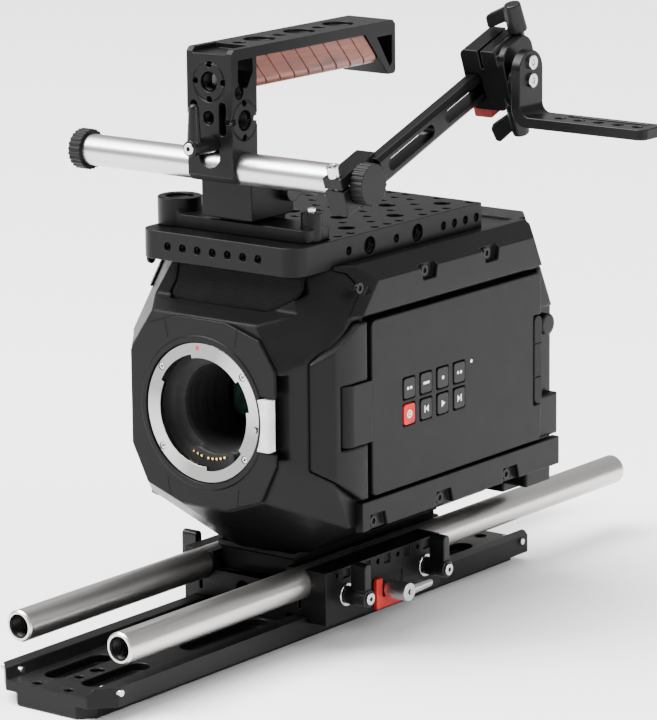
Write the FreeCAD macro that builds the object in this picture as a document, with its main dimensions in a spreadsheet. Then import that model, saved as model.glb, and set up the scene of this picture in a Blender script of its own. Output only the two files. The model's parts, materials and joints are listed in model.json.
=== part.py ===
"""Cinema camera rig: a camera on a bridgeplate and dovetail plate, with rods, top plate, handle and
viewfinder arm. Millimetres. X is across, the lens looks along -Y, Z is up, and the origin is under the
middle of the lens flange, on the dovetail plate's bottom face."""
import FreeCAD, Part
import math
import os
import re

import Sketcher
from FreeCAD import Placement, Rotation, Vector

# ---------------------------------------------------------------- driving dimensions
DIMS = {
    "rod_radius": (7.5, "outer radius of every rod"),
    "rod_hollow": (5.75, "inner radius of every rod"),
    "rod_spacing": (60, "between the two lower rods"),
    "rod_level": (28.5, "height of the lower rods' axes"),
    "rod_front": (-98, "front end of the lower rods"),
    "rod_length": (398, "length of a lower rod"),
    "running_gap": (0.05, "radial clearance of a running fit"),
    "dovetail_front": (-114, "front end of the dovetail plate"),
    "dovetail_length": (336, "length of the dovetail plate"),
    "dovetail_half": (34.3, "half width of the dovetail plate"),
    "datum": (2.5, "height of the drawing's zero plane above the plate's underside"),
    "dovetail_foot": (24.5, "half width of the plate's foot"),
    "dovetail_top": (12.5, "level of the rails' tops"),
    "dovetail_deck": (8.2, "level of the sunken deck"),
    "dovetail_step": (3.2, "level of the rails' undersides"),
    "channel_top": (26.4, "half width of the channel at the top"),
    "channel_deck": (22.8, "half width of the channel at the deck"),
    "bridge_front": (33, "front face of the bridgeplate"),
    "bridge_length": (91, "length of the bridgeplate"),
    "bridge_left": (-40, "left side of the bridgeplate"),
    "bridge_right": (46, "right side of the bridgeplate"),
    "bridge_top": (35.5, "top of the bridgeplate"),
    "riser_half": (22.3, "half width of the camera plate between the rods"),
    "riser_top": (40.5, "top of the camera plate"),
    "lever_level": (22, "height of the rod levers' axes"),
    "lens_level": (113.5, "height of the lens axis"),
    "mount_radius": (33.7, "outer radius of the steel lens mount"),
    "throat_radius": (27, "radius of the lens throat"),
    "body_half": (62, "half width of the camera body"),
    "body_length": (186, "length of the main body"),
    "body_bottom": (40.5, "underside of the camera"),
    "body_top": (180.5, "top of the camera body"),
    "rail_half": (64.3, "half width over the side rails"),
    "door_front": (46.3, "front edge of the monitor door"),
    "door_length": (138, "length of the monitor door"),
    "door_bottom": (73, "lower edge of the monitor door"),
    "door_height": (84, "height of the monitor door"),
    "door_depth": (8.5, "thickness of the monitor door"),
    "door_face": (64, "outer face of the monitor door"),
    "pivot_across": (58.4, "door hinge axis, across"),
    "pivot_along": (32.2, "door hinge axis, along"),
    "key_width": (8.6, "width of a key on the door"),
    "key_height": (9.8, "height of a key"),
    "plate_half": (47.3, "half width of the top plate"),
    "plate_front": (11.2, "front edge of the top plate"),
    "plate_length": (146.3, "length of the top plate"),
    "plate_thickness": (13.6, "thickness of the top plate"),
    "plate_corner": (9, "radius of the top plate's front corners"),
    "grid_pitch": (9.5, "pitch of the top plate's holes"),
    "handle_half": (13.4, "half width of the handle"),
    "handle_front": (8.6, "front face of the handle's post"),
    "handle_depth": (18.4, "depth of the post"),
    "handle_bottom": (221, "underside of the post"),
    "handle_top": (283.5, "top of the handle"),
    "handle_end": (134, "rear end of the handle"),
    "bar_thickness": (5, "thickness of the handle's top bar"),
    "hinge_along": (18, "axis of the upper rod, along"),
    "hinge_level": (227.5, "axis of the upper rod, height"),
    "upper_left": (-80, "left end of the upper rod"),
    "upper_length": (160.3, "length of the upper rod"),
    "arm_tilt": (20, "lean of the viewfinder arm, degrees"),
    "arm_half": (6.9, "half height of the arm"),
    "arm_inner": (75.6, "left face of the arm"),
    "arm_width": (8.4, "thickness of the arm"),
    "arm_reach": (122, "hinge to the arm's far end"),
    "block_along": (94.5, "hinge to the sliding block"),
    "pivot_reach": (101, "hinge to the bracket's pivot, along the arm"),
    "pivot_rise": (3, "height of the bracket's pivot above the arm's middle"),
    "block_depth": (24.5, "length of the sliding block"),
    "bracket_inner": (103, "left face of the bracket"),
    "bracket_end": (176, "right end of the bracket"),
    "bracket_thickness": (5, "thickness of the bracket"),
    "bracket_half": (9.5, "half width of the bracket"),
}

doc = FreeCAD.newDocument("camera_rig")
dims = doc.addObject("Spreadsheet::Sheet", "Dims")
for row, (alias, (value, note)) in enumerate(DIMS.items(), 1):
    dims.set(f"A{row}", alias)
    dims.set(f"B{row}", str(value))
    dims.setAlias(f"B{row}", alias)
    dims.set(f"C{row}", note)
doc.recompute()

WORD = re.compile(r"[a-z][a-z_]+")
NODES = {}


# ---------------------------------------------------------------- building blocks
def formula(value):
    """The expression for a number or for text that uses the sheet's aliases."""
    return WORD.sub(lambda m: "Dims." + m.group() if m.group() in DIMS else m.group(), str(value))


def number(value):
    """The value of such an expression now."""
    return float(dims.evalExpression(formula(value))) if isinstance(value, str) else float(value)


def bind(thing, prop, value):
    thing.setExpression(prop, formula(value))


def place(thing, at, turn=None):
    thing.Placement = Placement(Vector(*[number(v) for v in at]), turn or Rotation())
    for axis, value in zip("xyz", at):
        bind(thing, f"Placement.Base.{axis}", value)
    return thing


TURNS = {
    "Z": Rotation(),
    "X": Rotation(Vector(0, 1, 0), 90),
    "Y": Rotation(Vector(1, 0, 0), -90),
}


def box(size, at, turn=None):
    """A box with its low corner at a point."""
    thing = doc.addObject("Part::Box", "box")
    for prop, value in zip(("Length", "Width", "Height"), size):
        bind(thing, prop, value)
    return place(thing, at, turn)


def span(x, y, z):
    """A box from three (low, high) pairs."""
    sizes = [f"({high}) - ({low})" for low, high in (x, y, z)]
    return box(sizes, (x[0], y[0], z[0]))


def rod(radius, length, at, axis="Z"):
    """A cylinder that starts at a point and runs along +axis."""
    thing = doc.addObject("Part::Cylinder", "rod")
    bind(thing, "Radius", radius)
    bind(thing, "Height", length)
    return place(thing, at, TURNS[axis])


def taper(radius_a, radius_b, length, at, axis="Z"):
    thing = doc.addObject("Part::Cone", "taper")
    for prop, value in (("Radius1", radius_a), ("Radius2", radius_b), ("Height", length)):
        bind(thing, prop, value)
    return place(thing, at, TURNS[axis])


def tube(outer, inner, length, at, axis="Z"):
    return cut(rod(outer, length, at, axis), rod(inner, f"({length}) + 2", step_back(at, axis, 1), axis))


def step_back(at, axis, step):
    """A point moved back along an axis."""
    return tuple(f"({v}) - {step}" if name == axis else v for name, v in zip("XYZ", at))


def ball(radius, at):
    thing = doc.addObject("Part::Sphere", "ball")
    bind(thing, "Radius", radius)
    return place(thing, at)


def fuse(*parts):
    if len(parts) == 1:
        return parts[0]
    thing = doc.addObject("Part::MultiFuse", "fuse")
    thing.Shapes = list(parts)
    thing.Refine = True
    return thing


def common(*parts):
    thing = doc.addObject("Part::MultiCommon", "common")
    thing.Shapes = list(parts)
    return thing


def group(*parts):
    """Separate solids in one object."""
    thing = doc.addObject("Part::Compound", "group")
    thing.Links = list(parts)
    return thing


def cut(base, *tools):
    thing = doc.addObject("Part::Cut", "cut")
    thing.Base = base
    thing.Tool = tools[0] if len(tools) == 1 else group(*tools)
    return thing


def mirrored(part):
    """The part's mirror image across X = 0."""
    thing = doc.addObject("Part::Mirroring", "mirror")
    thing.Source = part
    thing.Base = Vector(0, 0, 0)
    thing.Normal = Vector(1, 0, 0)
    return thing


def both(part):
    return group(part, mirrored(part))


def rounded(base, radius, pick):
    """The edges that pick accepts, rounded."""
    doc.recompute()
    thing = doc.addObject("Part::Fillet", "rounded")
    thing.Base = base
    size = number(radius)
    thing.Edges = [(i, size, size) for i, edge in enumerate(base.Shape.Edges, 1) if pick(edge)]
    return thing


def along(axis, where=lambda point: True):
    """Picks straight edges that run along an axis and whose middle passes a test."""
    direction = {"X": Vector(1, 0, 0), "Y": Vector(0, 1, 0), "Z": Vector(0, 0, 1)}[axis]

    def pick(edge):
        if edge.Curve.TypeId != "Part::GeomLine":
            return False
        middle = edge.valueAt((edge.FirstParameter + edge.LastParameter) / 2)
        return abs(abs(edge.tangentAt(edge.FirstParameter).dot(direction)) - 1) < 1e-6 and where(middle)

    return pick


def outline(body, plane, points):
    """A closed outline on one of the body's own planes, each corner held by its two distances."""
    sketch = body.newObject("Sketcher::SketchObject", "outline")
    origin = [f for f in body.Origin.OriginFeatures if f.Role == plane + "_Plane"][0]
    sketch.AttachmentSupport = [(origin, "")]
    sketch.MapMode = "FlatFace"
    corners = [Vector(number(a), number(b), 0) for a, b in points]
    count = len(corners)
    for i, corner in enumerate(corners):
        sketch.addGeometry(Part.LineSegment(corner, corners[(i + 1) % count]), False)
    for i in range(count):
        sketch.addConstraint(Sketcher.Constraint("Coincident", i, 2, (i + 1) % count, 1))
    for i, (corner, values) in enumerate(zip(corners, points)):
        for kind, now, value in (("DistanceX", corner.x, values[0]), ("DistanceY", corner.y, values[1])):
            index = sketch.addConstraint(Sketcher.Constraint(kind, -1, 1, i, 1, now))
            if isinstance(value, str):
                sketch.setExpression(f"Constraints[{index}]", formula(value))
    return sketch


def slab(plane, points, low, length):
    """An outline on XY, XZ or YZ, padded from low by length along the plane's normal, Z, Y or X."""
    body = doc.addObject("PartDesign::Body", "slab")
    pad = body.newObject("PartDesign::Pad", "pad")
    pad.Profile = outline(body, plane, points)
    bind(pad, "Length", length)
    pad.Reversed = plane == "XZ"
    at = {"XY": (0, 0, low), "XZ": (0, low, 0), "YZ": (low, 0, 0)}[plane]
    return place(body, at)


def spun(points, at, axis="Z"):
    """An outline of (radius, height) points, turned about an axis."""
    body = doc.addObject("PartDesign::Body", "spun")
    turn = body.newObject("PartDesign::Revolution", "turn")
    sketch = outline(body, "XZ", points)
    turn.Profile = sketch
    turn.ReferenceAxis = (sketch, ["V_Axis"])
    turn.Angle = 360
    return place(body, at, TURNS[axis])


def drill(body, plane, holes, depth):
    """Circles (a, b, radius) on one of a body's planes, pocketed right through."""
    sketch = body.newObject("Sketcher::SketchObject", "holes")
    origin = [f for f in body.Origin.OriginFeatures if f.Role == plane + "_Plane"][0]
    sketch.AttachmentSupport = [(origin, "")]
    sketch.MapMode = "FlatFace"
    for i, (a, b, radius) in enumerate(holes):
        sketch.addGeometry(Part.Circle(Vector(a, b, 0), Vector(0, 0, 1), radius), False)
        sketch.addConstraint(Sketcher.Constraint("Radius", i, radius))
    pocket = body.newObject("PartDesign::Pocket", "pocket")
    pocket.Profile = sketch
    pocket.Length = depth
    pocket.Midplane = True
    return body


def half_space(point, normal):
    """A large block on the outer side of a plane."""
    size = 400
    turn = Rotation(Vector(0, 0, 1), Vector(*normal))
    thing = doc.addObject("Part::Box", "half_space")
    thing.Length = thing.Width = thing.Height = size
    thing.Placement = Placement(Vector(*[number(v) for v in point]), turn) * Placement(
        Vector(-size / 2, -size / 2, 0), Rotation())
    return thing


def slot(half_width, x, y, z, axis):
    """A round-ended slot: a box along one axis with a cylinder at each end, cut along another."""
    (x0, x1), (y0, y1), (z0, z1) = x, y, z
    if axis == "X":
        middle = f"(({z0}) + ({z1})) / 2"
        ends = [rod(half_width, f"({x1}) - ({x0})", (x0, end, middle), "X") for end in (y0, y1)]
        return fuse(span(x, y, (f"{middle} - {half_width}", f"{middle} + {half_width}")), *ends)
    middle = f"(({x0}) + ({x1})) / 2"
    ends = [rod(half_width, f"({z1}) - ({z0})", (middle, end, z0)) for end in (y0, y1)]
    return fuse(span((f"{middle} - {half_width}", f"{middle} + {half_width}"), y, z), *ends)


def node(name, thing):
    """Keeps a finished sub-part under its own name, lifted so that the plate stands on Z = 0."""
    thing.Label = name
    level = dict(thing.ExpressionEngine).get(".Placement.Base.z", "0")
    thing.setExpression("Placement.Base.z", f"{level} + Dims.datum")
    NODES[name] = thing
    return thing


def on_arm(thing):
    """Moves a piece drawn along the level arm to the leaning one: its own Y runs up the arm."""
    lean = Rotation(Vector(1, 0, 0), number("arm_tilt"))
    return place(group(thing), (0, "hinge_along", "hinge_level"), lean)


# ---------------------------------------------------------------- dovetail plate
PIN_PLACES = (-103, 210)
POCKET_HALF = 5.7
DECK_POCKETS = ((-99.5, -57.5), (-30, 30), (70, 130), (150, 196))
DECK_HOLES = ((-9.3, -109, 2.2), (9.3, -109, 2.2), (0, -91, 2.2), (0, -78.5, 3.4), (0, 40, 3.4), (0, 140, 3.4),
              (0, 160, 2.2), (-7.7, 212, 3.2), (7.7, 212, 3.2))


def dovetail_plate():
    """Two rails over a narrower foot, with a sunken deck between them."""
    section = [
        ("-dovetail_half", "dovetail_step"), ("dovetail_half", "dovetail_step"), ("dovetail_half", "dovetail_top"),
        ("channel_top", "dovetail_top"), ("channel_deck", "dovetail_deck"), ("-channel_deck", "dovetail_deck"),
        ("-channel_top", "dovetail_top"), ("-dovetail_half", "dovetail_top"),
    ]
    plate = slab("XZ", section, "dovetail_front", "dovetail_length")
    rear = "dovetail_front + dovetail_length"
    foot_corner = 7
    plan = []
    for side, end, inward in ((-1, "dovetail_front", 1), (1, "dovetail_front", 1), (1, rear, -1), (-1, rear, -1)):
        corner = [(f"{side} * dovetail_foot", f"{end} + {inward * foot_corner}"),
                  (f"{side} * (dovetail_foot - {foot_corner})", end)]
        plan += corner if side * inward < 0 else corner[::-1]
    foot = slab("XY", plan, "-datum", "datum + dovetail_step")
    tools = []
    for side in (-1, 1):
        for end, nose, corner in (("dovetail_front", -1, 10), (rear, 1, 6)):
            tools.append(half_space((f"{side} * (dovetail_half - {corner})", end, 0), (side, nose, 0)))
    for start, end in DECK_POCKETS:
        for side in (-1, 1):
            low, high = side * 11.2 - POCKET_HALF, side * 11.2 + POCKET_HALF
            tools.append(slot(POCKET_HALF, (low, high), (start + POCKET_HALF, end - POCKET_HALF),
                              ("dovetail_deck - 4", "dovetail_top"), "Z"))
    for x, y, radius in DECK_HOLES:
        tools.append(rod(radius, "dovetail_top + datum + 2", (x, y, "-datum - 1")))
    for y in PIN_PLACES:
        tools.append(rod(1.6, "2 * dovetail_half + 2", ("-dovetail_half - 1", y, "dovetail_deck + 1.8"), "X"))
    return cut(fuse(plate, foot), *tools)


def stop_pins():
    """A sprung pin through each rail, near both ends of the plate, that keeps the bridgeplate on."""
    pins = []
    for y in PIN_PLACES:
        for side in (-1, 1):
            start = "channel_deck + 0.6" if side > 0 else "-dovetail_half - 1.4"
            length = "dovetail_half - channel_deck + 0.8"
            pins.append(rod(1.6, length, (start, y, "dovetail_deck + 1.8"), "X"))
    return group(*pins)


# ---------------------------------------------------------------- bridgeplate and rods
LEVERS = {"front": ("bridge_right", 49, 1), "rear": ("bridge_right", 112, 1), "left": ("bridge_left", 49, -1)}
LOCK_ALONG, LOCK_LEVEL = 79, 18.5


def bridge_body():
    """The bridgeplate: it slides on the dovetail plate and holds both lower rods."""
    rear = "bridge_front + bridge_length"
    block = span(("bridge_left", "bridge_right"), ("bridge_front", rear), ("dovetail_top + 0.1", "bridge_top"))
    keel = span(("-channel_deck + 0.8", "channel_deck - 0.8"), ("bridge_front", rear),
                ("dovetail_deck + 0.3", "dovetail_top + 1"))
    skirts = [span(("dovetail_half + 0.2", "bridge_right"), ("bridge_front", rear), (9.6, "dovetail_top + 1")),
              span(("bridge_left", "-dovetail_half - 0.2"), ("bridge_front", rear), (9.6, "dovetail_top + 1"))]
    solid = fuse(block, keel, *skirts)
    tools = [span(("-riser_half - 0.1", "riser_half + 0.1"), ("bridge_front - 1", f"{rear} + 1"),
                  (27, "bridge_top + 1"))]
    for side in (-1, 1):
        tools.append(rod("rod_radius + running_gap", "bridge_length + 2",
                         (f"{side} * rod_spacing / 2", "bridge_front - 1", "rod_level"), "Y"))
        tools.append(span((f"{side} * rod_spacing / 2 - 0.8", f"{side} * rod_spacing / 2 + 0.8"),
                          ("bridge_front - 1", f"{rear} + 1"), (16, "rod_level")))
    for base, y, side in LEVERS.values():
        start, depth = (f"{base} - 9", 10) if side > 0 else (f"{base} - 1", 4)
        tools.append(rod(2.1, depth, (start, y, "lever_level"), "X"))
    jaw_room = (LOCK_ALONG - 17, LOCK_ALONG + 17)
    tools.append(span(("dovetail_half - 1.4", "bridge_right - 1.8"), jaw_room, (9, 21)))
    tools.append(rod(2.55, 12, ("bridge_right - 10", LOCK_ALONG, LOCK_LEVEL), "X"))
    tools.append(span(("bridge_right - 0.6", "bridge_right + 1"), (69.6, 93.2), (9, 24.6)))
    for y in (42, 58, 74, 90, 106):
        tools.append(rod(1.3, 4, ("bridge_right - 3", y, 32.4), "X"))
        tools.append(span(("bridge_right - 1.2", "bridge_right + 1"), (y + 4.6, y + 10), (30.2, 34.4)))
    tools.append(rod(4.3, 9, (-4, "bridge_front - 1", 19.5), "Y"))
    for x in (6.5, 12.5):
        tools.append(rod(2.2, 4, (x, "bridge_front - 1", 19.5), "Y"))
    return cut(solid, *tools)


def camera_plate():
    """The plate between the rods that carries the camera, with a lip along its top edge."""
    deep = span(("-riser_half", "riser_half"), (39, 152), (27.1, "riser_top - 3"))
    lip = span(("-riser_half - 1.2", "riser_half + 1.2"), (38.2, 152.8), ("riser_top - 3", "riser_top"))
    tools = [rod(3.3, 20, (0, y, 26)) for y in (60, 132)]
    tools += [span((-6, 6), (75, 117), (26, 33))]
    return cut(fuse(deep, lip), *tools)


def lower_rod(side):
    """A steel tube with chamfered ends."""
    radius, hollow, length, chamfer = "rod_radius", "rod_hollow", "rod_length", 0.8
    section = [(hollow, 0), (f"{radius} - {chamfer}", 0), (radius, chamfer), (radius, f"{length} - {chamfer}"),
               (f"{radius} - {chamfer}", length), (hollow, length)]
    return spun(section, (f"{side} * rod_spacing / 2", "rod_front", "rod_level"), "Y")


def clamp_lever(base, y, side):
    """A rod lever: a barrel along X with a fin that stands up from it."""
    reach = 13.6
    start = f"{base} + 0.9" if side > 0 else f"{base} - {reach}"
    barrel = rod(4.3, reach - 0.9, (start, y, "lever_level"), "X")
    low, high = (f"{base} + 4", f"{base} + 13") if side > 0 else (f"{base} - 13", f"{base} - 4")
    fin = span((low, high), (y - 2.3, y + 2.3), ("lever_level", "lever_level + 14.5"))
    tip = rod(2.3, f"({high}) - ({low})", (low, y, "lever_level + 14.5"), "X")
    bore = rod(2.05, reach + 2, (step_back((start,), "X", 1)[0], y, "lever_level"), "X")
    return cut(fuse(barrel, fin, tip), bore)


def lever_studs():
    """The bolts that the rod levers turn on, each with its head and its washer."""
    studs = []
    for base, y, side in LEVERS.values():
        start, length = (f"{base} - 8.8", 22.6) if side > 0 else (f"{base} - 13.8", 16.6)
        shank = rod(2.0, length, (start, y, "lever_level"), "X")
        head = rod(2.9, 0.8, (f"{base} + 13.8" if side > 0 else f"{base} - 14.6", y, "lever_level"), "X")
        washer = rod(5.6, 0.8, (base if side > 0 else f"{base} - 0.8", y, "lever_level"), "X")
        studs.append(fuse(shank, head, washer))
    return group(*studs)


def lock_lever():
    """The bright lever that draws the jaw against the dovetail plate."""
    at = ("bridge_right + 2.8", LOCK_ALONG, LOCK_LEVEL)
    barrel = rod(4.5, 12.2, at, "X")
    stem = rod(2.5, 4.8, ("bridge_right - 1.6", LOCK_ALONG, LOCK_LEVEL), "X")
    arm = taper(3.1, 2.2, 19, ("bridge_right + 12", LOCK_ALONG, LOCK_LEVEL), "Y")
    tip = ball(2.2, ("bridge_right + 12", LOCK_ALONG + 19, LOCK_LEVEL))
    return fuse(barrel, stem, arm, tip)


def lock_jaw():
    """The jaw that presses on the plate's right rail."""
    return span(("dovetail_half + 0.5", "bridge_right - 3.2"), (LOCK_ALONG - 16, LOCK_ALONG + 16), (9.4, 20.4))


def safety_catch():
    """The red catch under the lock lever."""
    plate = span(("bridge_right - 0.3", "bridge_right + 1.9"), (70.4, 90.2), (9.4, 24.2))
    window = span(("bridge_right - 1", "bridge_right + 3"), (LOCK_ALONG - 4, 91), (LOCK_LEVEL - 3.4, 25))
    return cut(plate, window)


# ---------------------------------------------------------------- camera body
CORNERS = {
    "upper": ((43.4, 0, 138.5), (0.668, -0.582, 0.465)),
    "lower": ((43.4, 0, 93.5), (0.659, -0.669, -0.344)),
    "chin": ((14, 0, 68.5), (0.271, -0.574, -0.773)),
    "rear": ((56, 184, 180.5), (24.5, 19.6, 9.2)),
}


def corner_blocks(names, margin=0):
    """Blocks outside the body's bevelled corners, on both sides. margin moves them outwards."""
    blocks = []
    for name in names:
        point, normal = CORNERS[name]
        outward = Vector(*normal).normalize()
        moved = Vector(*point) + outward * margin
        for side in (-1, 1):
            blocks.append(half_space((side * moved.x, moved.y, moved.z), (side * outward.x, outward.y, outward.z)))
    return blocks


def body_form():
    """The body's outer form: a plan, a side view and a front view in common, with bevelled corners."""
    half = "body_half"
    plan = [(-44, 1.6), (44, 1.6), (53, 13.5), (60, 22), (half, 30), (half, "body_length"),
            (f"-{half}", "body_length"), (f"-{half}", 30), (-60, 22), (-53, 13.5)]
    side = [(1.6, "lens_level - 46"), (1.6, "lens_level + 45"), (18, "lens_level + 49"), (22, "lens_level + 66"),
            (22, "body_top"), ("body_length", "body_top"), ("body_length", "body_bottom"), (35, "body_bottom"),
            (12, "lens_level - 57")]
    front = [(-28, "body_bottom"), (28, "body_bottom"), (50, 55), (60, 60), (60, 172), (53, 179), (48, "body_top"),
             (-48, "body_top"), (-53, 179), (-60, 172), (-60, 60), (-50, 55)]
    form = common(slab("XY", plan, 30, 170), slab("YZ", side, -80, 160), slab("XZ", front, -5, 220))
    return cut(form, *corner_blocks(CORNERS))


def body_shell():
    """The main housing, hollow inside, with the lens throat, the door's recess and the grille's window."""
    tools = [
        span((-54, 52), (48, "body_length - 3"), (64, 172)),
        rod("mount_radius + 3.1", 6.3, (0, -1, "lens_level"), "Y"),
        rod(30.5, 51, (0, -1, "lens_level"), "Y"),
        span(("door_face - door_depth - 1", "body_half + 5"), ("door_front - 1.4", "body_length + 1"),
             ("door_bottom - 1.2", "door_bottom + door_height + 1.2")),
        span(("pivot_across - 7.6", "body_half + 5"), (23.6, 47), (98.5, 130)),
        rod(1.55, 50, ("pivot_across", "pivot_along", 90)),
        span((33, 50), (-2, 6), ("lens_level - 17", "lens_level + 23")),
        rod(1.6, 10, (31.2, 0, "lens_level - 4"), "Y"),
        rod(4, 8, (-61, 60, 104), "X"),
        grille_panel(1.0, -2, 8),
    ]
    return cut(body_form(), *tools, hinge_cover_form(0.35))


def rear_shell():
    """The rear housing with its two lumps beside the door's edge."""
    start = "body_length + 0.2"
    core = span((-54, 54), (start, 207), (46, 178))
    foot = span((-40, 40), (start, 206), ("body_bottom + 1", 47))
    upper = span((40, 60.5), (start, 199), (137.5, 158))
    lower = span((40, 61), (start, 203), (72, 93))
    hood = span((-50, 50), (start, 203), (177, 182))
    mirror_upper = span((-60.5, -40), (start, 199), (137.5, 158))
    mirror_lower = span((-61, -40), (start, 203), (72, 93))
    solid = fuse(core, foot, upper, lower, hood, mirror_upper, mirror_lower)
    hollow = span((-50, 50), ("body_length", 203), (52, 172))
    sockets = [tube(4.8, 2.2, 7, (44, 207, z), "Y") for z in (66, 82, 98, 114)]
    dial = rod(5.4, 5, (54.8, 197, 128), "X")
    return fuse(cut(solid, hollow, *corner_blocks(("rear",))), *sockets, dial)


def battery_plate():
    plate = span((-36, 36), (207, 213), (62, 166))
    vee = slab("XZ", [(-14, 88), (14, 88), (22, 140), (-22, 140)], 207, 9)
    tools = [slab("XZ", [(-10, 94), (10, 94), (16.5, 134), (-16.5, 134)], 206, 12)]
    tools += [span((x - 1.2, x + 1.2), (211, 218), (146, 154)) for x in (-9, -3, 3, 9)]
    return cut(fuse(plate, vee), *tools)


UPPER_SCREWS = (39.9, 90.3, 140.8)
LOWER_SCREWS = (49, 101.7, 157)


def upper_rails():
    """The rails along the top edges, with three screw pockets each, cut back at the front corners."""
    section = [(60, 160.4), ("rail_half", 160.4), ("rail_half", 175.4), (54, 182), (48, 182), (48, "body_top"),
               (53, 179), (60, 172)]
    rail = slab("XZ", section, 28, 157)
    tools = corner_blocks(("upper", "rear"), 1)
    for y in UPPER_SCREWS:
        tools.append(slab("YZ", [(y - 9, 183), (y - 3.5, 169.4), (y + 6.5, 169.4), (y + 9, 183)], 61.6, 20))
    return both(cut(rail, *tools))


def lower_rails():
    section = [(60, 56.4), ("rail_half", 57.4), ("rail_half", 71.4), (60, 71.4)]
    rail = slab("XZ", section, 38, 162)
    tools = corner_blocks(("lower",), 1)
    for y in LOWER_SCREWS:
        tools.append(slab("YZ", [(y - 6, 55), (y - 5, 64.4), (y + 6.4, 64.4), (y + 9, 55)], 61.6, 20))
    return both(cut(rail, *tools))


def rail_screws():
    """Socket screws in the rails' pockets."""
    screws = []
    face = 61.65
    for level, places in ((173.6, UPPER_SCREWS), (60.7, LOWER_SCREWS)):
        for y in places:
            screws.append(cut(rod(2.7, 1.4, (face, y - 1, level), "X"),
                              rod(1.3, 2, (face + 0.6, y - 1, level), "X")))
    return both(group(*screws))


def hinge_cover_form(gap):
    """The faceted cover ahead of the door, or its recess when gap is above zero."""
    proud, deep = 1.0 + gap, 2.2 + gap
    plan = [(53 + proud, 13.2 - gap), (60.6 + proud, 21.9), ("body_half + %s" % (proud + 0.6), 30),
            ("body_half + %s" % (proud + 0.6), 44 + gap), (f"body_half - {deep}", 44 + gap),
            (f"body_half - {deep}", 31), (60 - deep, 23.5), (52.2 - deep, 13.2 - gap)]
    side = [(13.4 - gap, 90.5 - gap), (13.4 - gap, 141 + gap), (37 - gap, 157.2 + gap), (43.4 + gap, 157.2 + gap),
            (43.4 + gap, 72.6 - gap), (39 - gap, 72.6 - gap)]
    return common(slab("XY", plan, 60, 110), slab("YZ", side, 40, 40))


def hinge_cover():
    return cut(hinge_cover_form(0), span(("pivot_across - 9", 70), (24.6, 47), (99, 129.5)),
               rod(1.55, 50, ("pivot_across", "pivot_along", 90)))


def hinge_block():
    """The knuckle that carries the door, with its pin."""
    knuckle = rod(5.9, 29.4, ("pivot_across", "pivot_along", 99.6))
    arm = span(("pivot_across - 3.4", "rail_half"), ("pivot_along", "door_front"), (99.6, 129))
    pin = rod(1.5, 36, ("pivot_across", "pivot_along", 96.5))
    return fuse(knuckle, arm, pin)


KEYS = [(75 + 13.4 * column, level) for level in (119.8, 107.2) for column in range(4)]
STRIP = (178.5, 191.2, 135.6)


def door_shell():
    """The monitor's housing: a flat shell with a window for each key and a recess for the screen."""
    rear = "door_front + door_length"
    panel = span(("door_face - door_depth", "door_face"), ("door_front", rear),
                 ("door_bottom", "door_bottom + door_height"))
    panel = rounded(panel, 3, along("X"))
    tools = [span(("door_face - door_depth - 1", "door_face - 4.6"), ("door_front + 6", f"{rear} - 9"),
                  ("door_bottom + 5", "door_bottom + door_height - 5"))]
    half_width, half_height = "(key_width / 2 + 0.5)", "(key_height / 2 + 0.5)"
    for y, z in KEYS:
        tools.append(span(("door_face - 3", "door_face + 1"), (f"{y} - {half_width}", f"{y} + {half_width}"),
                          (f"{z} - {half_height}", f"{z} + {half_height}")))
        tools.append(rod(1.6, 10, ("door_face - 9", y, z), "X"))
    tools.append(span(("door_face - 12", "door_face + 2"), (STRIP[0] - 0.6, 200), (91, STRIP[2] + 0.6)))
    return cut(panel, *tools)


def door_screen():
    """The touch screen on the door's inner side."""
    rear = "door_front + door_length"
    return span(("door_face - door_depth + 0.4", "door_face - 5.6"), ("door_front + 6.3", f"{rear} - 9.3"),
                ("door_bottom + 5.3", "door_bottom + door_height - 5.3"))


def key(y, z):
    """One key: its cap and the short stem behind it."""
    cap = span(("door_face - 1.9", "door_face + 0.4"), (f"{y} - key_width / 2", f"{y} + key_width / 2"),
               (f"{z} - key_height / 2", f"{z} + key_height / 2"))
    cap = rounded(cap, 1.6, along("X"))
    return fuse(cap, rod(1.4, 2.8, ("door_face - 4.4", y, z), "X"))


def edge_strip():
    """The round-ended strip of three rubber covers beside the door's rear edge."""
    low, high = 91.6, STRIP[2]
    radius = 3.1
    middle = STRIP[0] + radius
    seat, face = 54.6, 64.4
    bars = fuse(span((seat, face), (STRIP[0], STRIP[0] + 2 * radius), (low + radius, high - radius)),
                *[rod(radius, face - seat, (seat, middle, z), "X") for z in (low + radius, high - radius)])
    grooves = [span((63.7, 66), (STRIP[0] - 1, STRIP[0] + 8), (z - 0.3, z + 0.3)) for z in (105, 122)]
    return cut(bars, *grooves)


def left_panel():
    panel = span((-64, -60.2), (46, 184), ("door_bottom", "door_bottom + door_height"))
    return cut(rounded(panel, 3, along("X")), rod(9, 6, (-66, 60, 104), "X"))


def grip_mount():
    """The toothed round mount for a side grip, on the left."""
    ring = tube(15, 4, 4.6, (-68.6, 60, 104), "X")
    boss = tube(8.9, 3, 4.2, (-64.2, 60, 104), "X")
    return fuse(ring, boss)


def front_bezel():
    """The eight-sided front plate around the lens mount."""
    z = "lens_level"
    points = [(-43, f"{z} - 20"), (-34, f"{z} - 38"), (-14, f"{z} - 45"), (14, f"{z} - 45"), (34, f"{z} - 38"),
              (43, f"{z} - 20"), (43, f"{z} + 25"), (34, f"{z} + 38.5"), (14, f"{z} + 44.7"),
              (-14, f"{z} + 44.7"), (-34, f"{z} + 38.5"), (-43, f"{z} + 25")]
    plate = slab("XZ", points, -0.4, 2)
    return cut(plate, rod("mount_radius + 2.8", 6, (0, -3, z), "Y"),
               span((33, 50), (-4, 3), ("lens_level - 14", "lens_level + 12.4")))


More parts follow.
